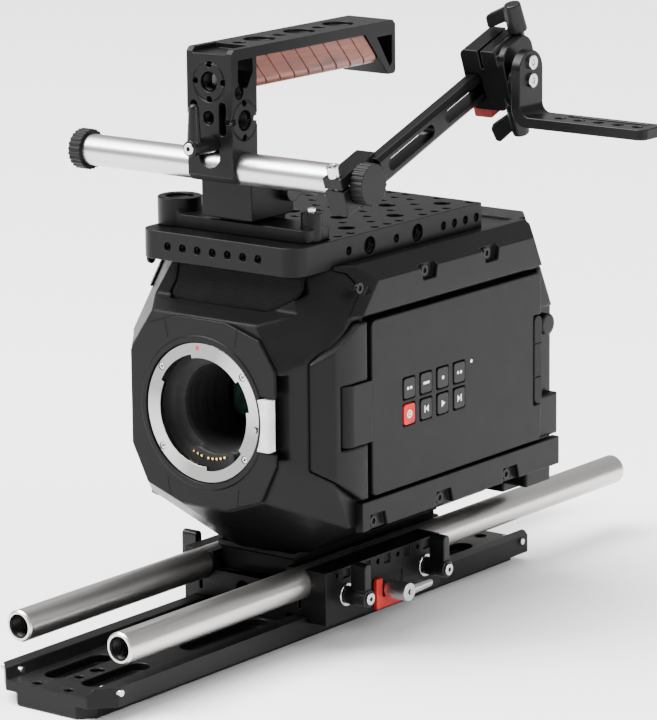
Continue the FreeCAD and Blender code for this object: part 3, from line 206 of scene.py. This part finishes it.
def faced_steel(name, centre, shade, roughness):
    """Steel faced on a lathe: rings round an axis along Y, and a painted highlight: the fan of light
    they throw back, painted into its colour.
    """
    s = Shader(name)
    spot = s.place(shift=tuple(-c for c in centre))
    apart = s.add("ShaderNodeSeparateXYZ", {"Vector": spot})
    x, z = apart.outputs["X"], apart.outputs["Z"]
    radius = s.math("SQRT", s.math("ADD", s.math("MULTIPLY", x, x), s.math("MULTIPLY", z, z)))
    rings = s.add("ShaderNodeTexNoise", {"W": s.math("MULTIPLY", radius, 2600), "Detail": 3.0},
                  noise_dimensions="1D").outputs["Fac"]
    tone = s.shades(rings, (shade * 0.9,) * 3, (shade * 1.07, shade * 1.06, shade * 1.03))
    # painted highlight: the colour brightens and dims round the axis, a fan of reflected light painted
    # in
    sweep = s.math("ARCTAN2", z, x)
    fan = s.math("COSINE", s.math("MULTIPLY", s.math("ADD", sweep, -0.5), 2.0))
    painted_sheen = s.shades(s.between(fan, 0.3, 0.7), 0.45, 1)
    s.set(Base_Color=s.mix(1.0, tone, painted_sheen, "MULTIPLY"), Metallic=1.0)
    s.set(Roughness=s.between(rings, roughness - 0.05, roughness + 0.07))
    return s.set(Normal=s.bump(rings, 0.000006, 0.5)).material


def painted(name, colour, roughness, metallic=0.0):
    """Smooth paint or coloured anodising with small scuffs."""
    s = Shader(name)
    scuffs = s.ramp(s.noise(0.003, 5, 0.7), (0.55, 0), (0.75, 1))
    dull = [c * 0.75 for c in colour]
    bright = [min(1, c * 1.15) for c in colour]
    s.set(Base_Color=s.shades(s.noise(0.01, 3), dull, bright), Metallic=metallic)
    s.set(Roughness=s.between(scuffs, roughness, roughness + 0.2), Specular_IOR_Level=PAINT_SPECULAR)
    return s.set(Normal=s.bump(s.noise(0.0003, 2), 0.00001, 0.5)).material


def oiled_wood(name):
    """Reddish-brown oiled wood with its grain along Y."""
    s = Shader(name)
    along = s.place((1, 0.07, 1), turn=(0.06, 0, 0.03))
    bands = s.noise(0.0042, 4, 0.55, along, 0.8)
    fibres = s.noise(0.0007, 3, 0.6, s.place((1, 0.03, 1)))
    tone = s.ramp(bands, (0.25, (0.04, 0.008, 0.004)), (0.5, (0.12, 0.026, 0.012)),
                  (0.75, (0.22, 0.058, 0.026)))
    pores = s.ramp(fibres, (0.3, (0.55, 0.5, 0.48)), (0.5, (1, 1, 1)))
    s.set(Base_Color=s.mix(0.8, tone, s.mix(1.0, tone, pores, "MULTIPLY")))
    s.set(Roughness=s.between(fibres, 0.52, 0.36), Coat_Weight=0.12, Coat_Roughness=0.3)
    return s.set(Normal=s.bump(fibres, 0.00005, 0.7, s.bump(bands, 0.00008, 0.4))).material


def rubber(name, colour):
    """Matt rubber with a fine tooth."""
    s = Shader(name)
    s.set(Base_Color=s.shades(s.noise(0.004, 4, 0.6), [c * 0.8 for c in colour], colour))
    s.set(Roughness=s.between(s.noise(0.001, 3), 0.62, 0.8), Specular_IOR_Level=RUBBER_SPECULAR)
    return s.set(Normal=s.bump(s.noise(0.0004, 3), 0.00003, 0.6)).material


def glass_black(name):
    """The dark glass of a screen, with faint smears."""
    s = Shader(name)
    smears = s.noise(0.02, 4, 0.7, s.place((1, 1, 3)), 1.0)
    s.set(Base_Color=s.ramp(smears, (0.4, (0.006, 0.007, 0.009)), (0.8, (0.012, 0.013, 0.016))))
    s.set(Roughness=s.between(smears, 0.04, 0.14))
    return s.set(Coat_Weight=0.4, Coat_Roughness=0.05).material


def circuit_board(name):
    """A dark green board with a pattern of square traces."""
    s = Shader(name)
    squares = s.add("ShaderNodeTexVoronoi", {"Vector": s.coords, "Scale": 260}, distance="CHEBYCHEV")
    traces = s.ramp(squares.outputs["Distance"],
                    (0.3, (0.002, 0.012, 0.007)), (0.5, (0.006, 0.03, 0.018)))
    return s.set(Base_Color=traces, Roughness=s.between(s.noise(0.002, 3), 0.3, 0.5)).material


def printed_ink(name):
    """Printed marks: pale ink with slightly uneven cover."""
    s = Shader(name)
    s.set(Base_Color=s.shades(s.noise(0.0006, 3), (0.62, 0.63, 0.64), (0.82, 0.82, 0.82)))
    return s.set(Roughness=s.between(s.noise(0.001, 2), 0.4, 0.6)).material


LENS_LOW, LENS_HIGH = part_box("lens_mount")
LENS_CENTRE = (LENS_LOW + LENS_HIGH) / 2
MATERIALS = {
    "plate_black": anodised("plate_black", 0.0028, 0.4),
    "bridge_black": anodised("bridge_black", 0.0022, 0.42),
    "handle_black": anodised("handle_black", 0.0028, 0.38),
    "arm_black": anodised("arm_black", 0.0022, 0.3),
    "rail_black": moulded("rail_black", (0.0025, 0.0025, 0.0027), 0.38, corner=0.0008),
    "rod_steel": steel("rod_steel", "Y", (0.56, 0.54, 0.52), 0.32),
    "upper_rod_steel": steel("upper_rod_steel", "X", (0.52, 0.52, 0.52), 0.3),
    "mount_steel": faced_steel("mount_steel", LENS_CENTRE, 0.4, 0.24),
    "screw_steel": steel("screw_steel", "X", (0.55, 0.55, 0.55), 0.24),
    "lever_black": painted("lever_black", (0.005, 0.005, 0.0055), 0.3, 0.1),
    "lever_bright": steel("lever_bright", "X", (0.5, 0.5, 0.52), 0.3),
    "catch_red": painted("catch_red", (0.42, 0.02, 0.018), 0.36, 0.2),
    "case_grey": moulded("case_grey", (0.003, 0.003, 0.0032), 0.36, corner=0.0022),
    "door_grey": moulded("door_grey", (0.0032, 0.0032, 0.0034), 0.42, corner=0.001),
    "bezel_black": moulded("bezel_black", (0.0022, 0.0022, 0.0024), 0.4, corner=0.0006),
    "baffle_black": moulded("baffle_black", (0.016, 0.016, 0.0165), 0.5),
    "contact_gold": steel("contact_gold", "Y", (0.78, 0.52, 0.18), 0.25),
    "board_green": circuit_board("board_green"),
    "button_white": painted("button_white", (0.55, 0.55, 0.54), 0.25),
    "key_dark": painted("key_dark", (0.004, 0.004, 0.0045), 0.4),
    "key_red": painted("key_red", (0.5, 0.008, 0.007), 0.4),
    "screen_glass": glass_black("screen_glass"),
    "strip_rubber": rubber("strip_rubber", (0.006, 0.006, 0.0065)),
    "grille_metal": painted("grille_metal", (0.012, 0.012, 0.012), 0.38, 0.5),
    "grip_wood": oiled_wood("grip_wood"),
    "pad_red": rubber("pad_red", (0.13, 0.012, 0.01)),
    "knob_black": moulded("knob_black", (0.005, 0.005, 0.005), 0.4),
    "mark_white": printed_ink("mark_white"),
    "screw_black": painted("screw_black", (0.004, 0.004, 0.004), 0.3, 0.3),
    # painted shade for hollows: the rod bores, the bolt sockets and the cavity behind the grille; also
    # the dark seams
    "shade_and_seam_black": moulded("shade_and_seam_black", (0.0015, 0.0015, 0.0015), 0.85),
}


# ---------------------------------------------------------------- mesh helpers
SHARP_FROM = math.radians(30)     # edges turning more than this are shaded sharp
BEVEL_FROM = math.radians(35)     # and more than this are rounded
FLAT_WITHIN = math.radians(0.6)   # faces turning less than this are joined
WELD = 2e-6                       # metres


def keep(mesh, name, body, slot, material=None):
    """Makes a piece of a mesh, shaded smooth but for its sharp edges, riding on a CAD body."""
    piece = bpy.data.objects.new(name, mesh)
    bpy.context.scene.collection.objects.link(piece)
    mesh.materials.clear()
    mesh.materials.append(MATERIALS[material or slot])
    for face in mesh.polygons:
        face.use_smooth = True
    mesh.set_sharp_from_angle(angle=SHARP_FROM)
    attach(piece, body)
    return piece


def bevel(piece, width):
    """Small rounded edges that catch the light, with the flat faces kept flat."""
    step = piece.modifiers.new("edges", "BEVEL")
    step.width = width
    step.segments = 2
    step.limit_method = "ANGLE"
    step.angle_limit = BEVEL_FROM
    step.use_clamp_overlap = False
    step.miter_outer = "MITER_ARC"


def flatten(piece):
    """Large flat faces keep their own normal beside small curved ones."""
    step = piece.modifiers.new("flats", "WEIGHTED_NORMAL")
    step.mode = "FACE_AREA"
    step.weight = 100
    step.keep_sharp = True


def clean_form(node):
    """A CAD node's mesh, welded, with its flat faces joined."""
    form = bmesh.new()
    form.from_mesh(frame["nodes"][node].data)
    bmesh.ops.remove_doubles(form, verts=form.verts, dist=WELD)
    bmesh.ops.dissolve_limit(form, angle_limit=FLAT_WITHIN, verts=form.verts, edges=form.edges)
    return form


def as_mesh(form, name):
    """Turns a working form into a mesh, and frees the form."""
    mesh = bpy.data.meshes.new(name)
    form.to_mesh(mesh)
    form.free()
    return mesh


def dress(node, edge, material=None, region=None, suffix="piece"):
    """Stands a cleaned and shaded piece in a CAD node's place, its edges rounded by edge millimetres.

    A region is a test of a solid's middle, and keeps only some of the solids.
    """
    form = clean_form(node)
    if region:
        drop = [vert for solid in solids(form) if not region(middle_of(solid)) for vert in solid]
        bmesh.ops.delete(form, geom=drop, context="VERTS")
    mesh = as_mesh(form, node + "_looks")
    piece = keep(mesh, f"{node}_{suffix}", BODY_OF[node], SLOT_OF[node], material)
    if edge:
        bevel(piece, edge * MM)
    flatten(piece)
    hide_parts(node)
    return piece


def solids(form):
    """The mesh's separate solids, as lists of vertices."""
    left = set(form.verts)
    found = []
    while left:
        solid, edge = set(), [next(iter(left))]
        while edge:
            vert = edge.pop()
            if vert not in solid:
                solid.add(vert)
                edge += [link.other_vert(vert) for link in vert.link_edges]
        left -= solid
        found.append(solid)
    return found


def middle_of(verts):
    """The middle of some vertices, in millimetres."""
    return sum((vert.co for vert in verts), Vector()) / len(verts) / MM


# rounded edges by node, in millimetres
USUAL_EDGE = 0.25
EDGES = {
    "dovetail_plate": 0.4, "bridge_body": 0.35, "camera_plate": 0.5, "rod_left": 0, "rod_right": 0,
    "body_shell": 0.3, "rear_shell": 0.6, "front_bezel": 0.3, "hinge_cover": 0.5, "door_shell": 0.35,
    "top_plate": 0.3, "handle_frame": 0.3, "wood_grip": 0.2, "finder_arm": 0.3,
    "sliding_block": 0.4, "bracket": 0.4, "contact_pins": 0, "throat_baffle": 0, "top_wing": 0.7,
    "bottom_wing": 0.7, "rod_lever_front": 0.5, "rod_lever_rear": 0.5, "rod_lever_left": 0.5,
    "grille": 0, "lock_pin": 0, "lens_mount": 0.15, "case_screws": 0.12, "inner_boards": 0,
    "riser_block": 0.6, "nato_base": 0.5,
}
# the grille's panel takes the near-black of painted shade, for the hollow seen through its sheet
OTHER_MATERIALS = {"upper_rod": "upper_rod_steel", "grille": "shade_and_seam_black"}
SCREW_SPLIT = 58   # case screws further than this from the middle are the black ones of the sides
for node_name in frame["nodes"]:
    if node_name != "case_screws":
        dress(node_name, EDGES.get(node_name, USUAL_EDGE), OTHER_MATERIALS.get(node_name))
for suffix, material, region in (("sides", "screw_black", lambda middle: abs(middle.x) > SCREW_SPLIT),
                                 ("front", None, lambda middle: abs(middle.x) < SCREW_SPLIT)):
    dress("case_screws", EDGES["case_screws"], material, region, suffix)


# ---------------------------------------------------------------- details
# places on the rig, in millimetres
LENS_LEVEL = 116.0
DECK_LEVEL = 196.6         # the top plate's upper face
DECK_EDGE_LEVEL = 189.8    # the holes in its edges
ROD_LEVEL, ROD_SIDE = 31, 30
LEVER_LEVEL = 24.5
X, Y, Z = Vector((1, 0, 0)), Vector((0, 1, 0)), Vector((0, 0, 1))


def turned(direction):
    """Two directions square to one."""
    side = Z if abs(direction.z) < 0.9 else X
    first = direction.cross(side).normalized()
    return first, direction.cross(first)


THREAD_STEPS = 28      # corners in one turn of a thread
THREAD_START = 0.25    # below the hole's mouth
THREAD_SINK = 0.04     # the thread's root lies this far in the wall


def thread_pitch(radius):
    """The pitch of a thread that suits a hole's radius."""
    if radius < 4:
        return 1.27
    return 1.75 if radius > 5.5 else 1.59


def threads(name, body, slot, holes, material=None):
    """Screw threads inside holes, given as (mouth, direction inwards, radius, depth).

    Each thread is a helical strip, whose rows lie by turns on the crest and at the root.
    """
    form = bmesh.new()
    for mouth, inward, radius, depth in holes:
        pitch = thread_pitch(radius)
        crest, root = radius - pitch * 0.4, radius + THREAD_SINK
        rows = int(depth / pitch * 2)
        first, second = turned(inward)
        grid = []
        for row in range(rows):
            reach = root if row % 2 else crest
            loop = []
            for step in range(THREAD_STEPS):
                angle = 2 * math.pi * step / THREAD_STEPS
                deep = THREAD_START + pitch * (row / 2 + step / THREAD_STEPS)
                outward = first * math.cos(angle) + second * math.sin(angle)
                loop.append(form.verts.new((mouth + inward * deep + outward * reach) * MM))
            grid.append(loop)
        for row in range(rows - 1):
            for step in range(THREAD_STEPS - 1):
                form.faces.new((grid[row][step], grid[row][step + 1],
                                grid[row + 1][step + 1], grid[row + 1][step]))
            if row + 3 < rows:
                form.faces.new((grid[row][-1], grid[row + 2][0],
                                grid[row + 3][0], grid[row + 1][-1]))
    return keep(as_mesh(form, name), name, body, slot, material)


def flat_shape(name, body, slot, outlines, origin, across, upward, material, lift=0.03):
    """Thin printed or inlaid shapes: outlines of (across, up) points on a plane, raised by lift."""
    form = bmesh.new()
    normal = across.cross(upward)
    for outline in outlines:
        corners = [(origin + across * a + upward * b + normal * lift) * MM for a, b in outline]
        form.faces.new([form.verts.new(corner) for corner in corners])
    return keep(as_mesh(form, name), name, body, slot, material)


def disc(radius, centre=(0, 0), count=24):
    """A circle's corners."""
    return [(centre[0] + radius * math.cos(2 * math.pi * i / count),
             centre[1] + radius * math.sin(2 * math.pi * i / count)) for i in range(count)]


def ring(outer, inner, centre=(0, 0), count=24):
    """A flat ring as a strip of four-sided pieces."""
    out, within = disc(outer, centre, count), disc(inner, centre, count)
    return [(out[i], out[(i + 1) % count], within[(i + 1) % count], within[i]) for i in range(count)]


def ribbon(points, width):
    """A line of a width through points, as four-sided pieces."""
    pieces = []
    for (a, b), (c, d) in zip(points, points[1:]):
        length = math.hypot(c - a, d - b)
        side = (-(d - b) / length * width / 2, (c - a) / length * width / 2)
        pieces.append(((a - side[0], b - side[1]), (c - side[0], d - side[1]),
                       (c + side[0], d + side[1]), (a + side[0], b + side[1])))
    return pieces


# threads in the top plate's front and side edges, the latter as (place along Y, radius)
EDGE_HOLES = ((51.4, 2), (67.5, 4.2), (88.4, 2), (105.2, 4.2), (126.2, 2), (135.2, 2), (144.2, 2),
              (153.2, 2))
front_holes = [(Vector((-29 + 9 * i, 11.2, DECK_EDGE_LEVEL)), Y, 2, 5) for i in range(7)]
edge_holes = []
for y, radius in EDGE_HOLES:
    for side in (-1, 1):
        edge_holes.append((Vector((side * 47.3, y, DECK_EDGE_LEVEL)), -side * X, radius, 5))
threads("plate_edge_threads", BODY_OF["top_plate"], "plate_black", front_holes + edge_holes)

# threads in the top plate's grid of holes, which is the same on both sides of the middle
GRID_PITCH = 9.5
GRID_START = 39.3
GRID_STRETCH = 1.005   # the rows lie this much further apart than the columns
grid_holes = []
for column in range(5):
    for row in range(13):
        phase = row % 4
        large = (column == 3 and phase == 3) or (column == 1 and phase == 1)
        small = {0: phase != 1, 1: phase == 3, 2: row % 2 == 0,
                 3: phase == 1, 4: phase != 3}[column]
        if large or small:
            for side in (-1, 1):
                mouth = Vector((side * (column + 0.5) * GRID_PITCH,
                                GRID_START + row * GRID_PITCH * GRID_STRETCH, DECK_LEVEL))
                grid_holes.append((mouth, -Z, 4.2 if large else 2.1, 8 if large else 5))
threads("plate_grid_threads", BODY_OF["top_plate"], "plate_black", grid_holes)

# threads in the handle, the dovetail plate, the bridgeplate and the rods
threads("handle_threads", "handle", "handle_black", [
    (Vector((-0.2, 8.6, 270.5)), Y, 4.76, 8), (Vector((-0.7, 8.6, 253.7)), Y, 3.2, 8),
    (Vector((13.4, 17.8, 252.5)), -X, 4.76, 8), (Vector((-13.4, 17.8, 252.5)), X, 4.76, 8),
    (Vector((13.4, 14, 265.9)), -X, 3.2, 10), (Vector((-13.4, 14, 265.9)), X, 3.2, 10),
    *[(Vector((0, y, 286)), -Z, 3.2, 5) for y in (31, 61, 91)]])
threads("dovetail_threads", "dovetail", "plate_black", [
    (Vector((x, y, 10.7)), -Z, radius, 8) for x, y, radius in (
        (-9.3, -109, 2.2), (9.3, -109, 2.2), (0, -91, 2.2), (0, -78.5, 3.4), (0, 160, 2.2),
        (-7.7, 212, 3.2), (7.7, 212, 3.2))])
threads("bridge_threads", BODY_OF["bridge_body"], "bridge_black", [
    (Vector((-4, 33, 22)), Y, 4.3, 7), (Vector((6.5, 33, 22)), Y, 2.2, 3),
    (Vector((12.5, 33, 22)), Y, 2.2, 3)])

# the rods' threads at the front, and behind these dark sleeves of painted shade inside the bores
ROD_BORE = 5.75
BORE_SHADE_RADIUS, BORE_SHADE_ENDS, BORE_SHADE_SIDES = 5.72, (-68, 299), 32
for side, body in ((-1, "rod_left"), (1, "rod_right")):
    mouth = Vector((side * ROD_SIDE, -97.6, ROD_LEVEL))
    threads(body + "_threads", body, "rod_steel", [(mouth, Y, ROD_BORE, 30)], "screw_black")
    # painted shade: a near-black sleeve just inside each bore, standing for the shade in the hollow rod
    bore_shade = bmesh.new()
    ends = []
    for along in BORE_SHADE_ENDS:
        turns = [turn * math.pi / (BORE_SHADE_SIDES / 2) for turn in range(BORE_SHADE_SIDES)]
        ends.append([bore_shade.verts.new(Vector((side * ROD_SIDE + BORE_SHADE_RADIUS * math.cos(turn), along,
                                              ROD_LEVEL + BORE_SHADE_RADIUS * math.sin(turn))) * MM)
                     for turn in turns])
    for step in range(BORE_SHADE_SIDES):
        bore_shade.faces.new((ends[0][step], ends[1][step], ends[1][step - 1], ends[0][step - 1]))
    keep(as_mesh(bore_shade, body + "_lining"), body + "_lining", body, "rod_steel", "shade_and_seam_black")

# the grille's perforated sheet, on the front of its leaning panel
GRILLE_LEAN = math.radians(-13)
GRILLE_BASE, GRILLE_MIDDLE = 49, 56   # above the lens axis
GRILLE_SHARE = 0.98                   # of the panel's own outline
GRILLE_DEPTH = 0.85                   # the sheet lies this far behind the panel's base line
GRILLE = ((-34, 50.5), (-32, 48.2), (-25.4, 46.6), (2.8, 46.2), (26.5, 48.1), (40.4, 55.6),
          (43.4, 60), (43.4, 66), (-31.5, 66), (-31.5, 57))
grille_up = Vector((0, -math.sin(GRILLE_LEAN), math.cos(GRILLE_LEAN)))
grille_out = Vector((0, -math.cos(GRILLE_LEAN), -math.sin(GRILLE_LEAN)))
grille_origin = Vector((0, 17.8, LENS_LEVEL + GRILLE_BASE)) - grille_out * GRILLE_DEPTH
outline = [(x * GRILLE_SHARE, (z - GRILLE_MIDDLE) * GRILLE_SHARE + (GRILLE_MIDDLE - GRILLE_BASE))
           for x, z in GRILLE]


def inside(point, corners):
    """Whether a point lies within an outline, by counting the sides to its right."""
    odd = False
    for (ax, az), (bx, bz) in zip(corners, corners[1:] + corners[:1]):
        if (az > point[1]) != (bz > point[1]):
            if point[0] < (bx - ax) * (point[1] - az) / (bz - az) + ax:
                odd = not odd
    return odd


CELL_PITCH = 1.25
CELL_RADIUS = CELL_PITCH / math.sqrt(3)
HOLE_SHARE = 0.62   # of a cell's width
cells = []
for row in range(-8, 24):
    for column in range(-32, 38):
        middle_x = (column + (row % 2) / 2) * CELL_PITCH
        middle_z = row * CELL_PITCH * math.sqrt(3) / 2
        corners = [math.radians(60 * i + 30) for i in range(6)]
        outer = [(middle_x + CELL_RADIUS * math.cos(corner), middle_z + CELL_RADIUS * math.sin(corner))
                 for corner in corners]
        if all(inside(corner, outline) for corner in outer):
            hole = [(middle_x + (x - middle_x) * HOLE_SHARE, middle_z + (z - middle_z) * HOLE_SHARE)
                    for x, z in outer]
            cells += [(outer[i], outer[(i + 1) % 6], hole[(i + 1) % 6], hole[i]) for i in range(6)]
flat_shape("grille_sheet", BODY_OF["grille"], "grille_metal", cells, grille_origin, X, grille_up,
           "grille_metal", 0)

# plain printed marks on the keys, each riding on its key, and the small lamp beside them
KEY_START, KEY_PITCH, KEY_LEVELS = 75, 13.4, (122.3, 109.7)
KEY_FACE, DOOR_FACE = 64.4, 64
KEY_MARKS = [
    ribbon([(-2, 0), (-0.4, 0)], 1.3) + ribbon([(0.4, 0), (2, 0)], 1.3),
    ribbon([(-2.4, 0), (2.4, 0)], 1.2),
    [disc(0.9)],
    [disc(0.8, (-1.2, 0)), disc(0.8, (1.2, 0))],
    ring(2.0, 1.3) + [disc(0.7)],
    [[(-1.7, -1.7), (-0.9, -1.7), (-0.9, 1.7), (-1.7, 1.7)],
     [(1.7, -1.7), (1.7, 1.7), (-0.7, 0)]],
    [[(-1.2, -1.7), (1.7, 0), (-1.2, 1.7)]],
    [[(-1.7, -1.7), (0.7, 0), (-1.7, 1.7)],
     [(0.9, -1.7), (1.7, -1.7), (1.7, 1.7), (0.9, 1.7)]],
]
key_places = [(KEY_START + KEY_PITCH * column, level) for level in KEY_LEVELS for column in range(4)]
for index, (marks, (y, z)) in enumerate(zip(KEY_MARKS, key_places), 1):
    key = f"key_{index}"
    flat_shape(f"{key}_mark", key, SLOT_OF[key], marks, Vector((KEY_FACE, y, z)), Y, Z, "mark_white")
flat_shape("door_lamp", "door", "door_grey", [disc(0.9)], Vector((DOOR_FACE, 125.5, 125.8)), Y, Z,
           "mark_white")

# the red index dot of the lens ring
flat_shape("index_dot", BODY_OF["lens_mount"], "catch_red", [disc(1.1)],
           Vector((-2.7, 0, LENS_LEVEL + 30.6)), X, Z, "catch_red")

# painted shade: dark crossed slots in the lens ring's screws and dark rims round them, where their
# recesses lie in shade
MOUNT_SCREW_ANGLES = (40, 142, 218, 322)
MOUNT_SCREW_CIRCLE = 31.1
CROSS = ribbon([(-0.9, -0.5), (0.9, 0.5)], 0.42) + ribbon([(-0.5, 0.9), (0.5, -0.9)], 0.42)
for angle in MOUNT_SCREW_ANGLES:
    spot = Vector((MOUNT_SCREW_CIRCLE * math.cos(math.radians(angle)), 0,
                   LENS_LEVEL + MOUNT_SCREW_CIRCLE * math.sin(math.radians(angle))))
    flat_shape(f"mount_screw_gap_shade_{angle}", "camera", "mount_steel", ring(1.85, 1.6), spot, X, Z,
               "screw_black", 0.02)
    flat_shape(f"mount_screw_slot_shade_{angle}", "camera", "screw_steel", CROSS, spot + Y * 0.3, X, Z,
               "screw_black", 0.03)

# six-sided sockets in the bolts' heads, painted as flat dark hexagons of shade, as (name, body, slot,
# radius, place, direction across)
SOCKETS = (
    ("lever_bolt_socket_0", "camera", "screw_steel", 1.2, (60.6, 49, LEVER_LEVEL), Y),
    ("lever_bolt_socket_1", "camera", "screw_steel", 1.2, (60.6, 112, LEVER_LEVEL), Y),
    ("top_lever_socket", "handle", "screw_steel", 1.2, (1.8, -9.5, 241.9), X),
    ("lock_lever_socket", "lock_lever", "lever_bright", 1.5, (61, 79, 21), Y),
)
for name, body, slot, radius, spot, across in SOCKETS:
    flat_shape(name, body, slot, [disc(radius, count=6)], Vector(spot), across, Z, "shade_and_seam_black")

# seams between the body's mouldings
SHELF_UP = Vector((0, 16.4, 4)).normalized()
SHELF_SEAM = [(-36.5, 13.6), (-33.2, 12.9), (-19, 6.4), (10.6, 6.6), (28.6, 11.6), (32, 14.5)]
flat_shape("seam_shelf", "camera", "baffle_black", ribbon(SHELF_SEAM, 0.55), Vector((0, 1.6, 161.0)),
           X, SHELF_UP, "shade_and_seam_black", 0.04)
for side in (-1, 1):
    for low, high in ((33.5, 42.5), (-42.5, -33.5)):
        flat_shape(f"seam_bezel_{side + 1}_{int(low > 0)}", "camera", "baffle_black",
                   ribbon([(side * 20, low), (side * 21.5, high)], 0.5),
                   Vector((0, -0.4, LENS_LEVEL)), X, Z, "shade_and_seam_black", 0.03)


# ---------------------------------------------------------------- stage, light and camera
FLOOR_WIDTH = 12
FLOOR_GAP = 0.0005   # metres under the rig, so that no face lies in the floor
WORLD_STRENGTH = 0.6


def plane(name, size, place, material):
    """A level square of the stage."""
    form = bmesh.new()
    bmesh.ops.create_grid(form, x_segments=1, y_segments=1, size=size / 2,
                          matrix=Matrix.Translation(place))
    mesh = as_mesh(form, name)
    mesh.materials.append(material)
    thing = bpy.data.objects.new(name, mesh)
    bpy.context.scene.collection.objects.link(thing)


def paper(name):
    """The white paper that the rig stands on."""
    s = Shader(name)
    return s.set(Base_Color=s.shades(s.noise(0.5), 0.86, 0.9), Roughness=0.9).material


plane("floor", FLOOR_WIDTH, (0, 0, -FLOOR_GAP), paper("floor_paper"))

world = bpy.data.worlds.new("studio")
world.use_nodes = True
background = world.node_tree.nodes["Background"]
background.inputs["Color"].default_value = (1, 1, 1, 1)
background.inputs["Strength"].default_value = WORLD_STRENGTH
bpy.context.scene.world = world


def lamp(name, light, direction, place=(0, 0, 0)):
    """Hangs a light at a place, shining from a direction."""
    thing = bpy.data.objects.new(name, light)
    turn = direction.to_track_quat("Z", "Y").to_matrix().to_4x4()
    thing.matrix_world = Matrix.Translation(place) @ turn
    bpy.context.scene.collection.objects.link(thing)


def softbox(name, place, target, size, power):
    """A rectangular light that faces a target."""
    light = bpy.data.lights.new(name, "AREA")
    light.shape = "RECTANGLE"
    light.size, light.size_y = size
    light.energy = power
    lamp(name, light, Vector(place) - Vector(target), place)


softbox("key_light", (-1.1, -1.2, 1.7), (0, 0, 0.12), (0.9, 0.9), 80)
softbox("side_light", (1.9, 0.1, 0.9), (0, 0.1, 0.12), (0.7, 1.4), 40)
softbox("top_light", (0, 0.3, 2.0), (0, 0.1, 0), (1.6, 1.6), 30)
sky = bpy.data.lights.new("sky_light", "SUN")
sky.energy = 8.5
sky.angle = math.radians(45)
lamp("sky_light", sky, Vector((-0.35, -0.3, 1)))

# the photograph's camera
AZIMUTH, ELEVATION, ROLL = math.radians(37.63), math.radians(12.8), math.radians(-0.548)
CAMERA_PLACE = Vector((1.152, -1.398, 0.552))
back = Vector((math.sin(AZIMUTH) * math.cos(ELEVATION), -math.cos(AZIMUTH) * math.cos(ELEVATION),
               math.sin(ELEVATION)))
level = Vector((math.cos(AZIMUTH), math.sin(AZIMUTH), 0))
upright = back.cross(level)
right = level * math.cos(ROLL) + upright * math.sin(ROLL)
up = upright * math.cos(ROLL) - level * math.sin(ROLL)
lens = bpy.data.cameras.new("photo_camera")
lens.lens = 200
lens.sensor_fit = "VERTICAL"
lens.sensor_height = 36
lens.clip_start, lens.clip_end = 0.05, 50
camera = bpy.data.objects.new("photo_camera", lens)
camera.matrix_world = Matrix.Translation(CAMERA_PLACE) @ Matrix((right, up, back)).transposed().to_4x4()
bpy.context.scene.collection.objects.link(camera)
bpy.context.scene.camera = camera
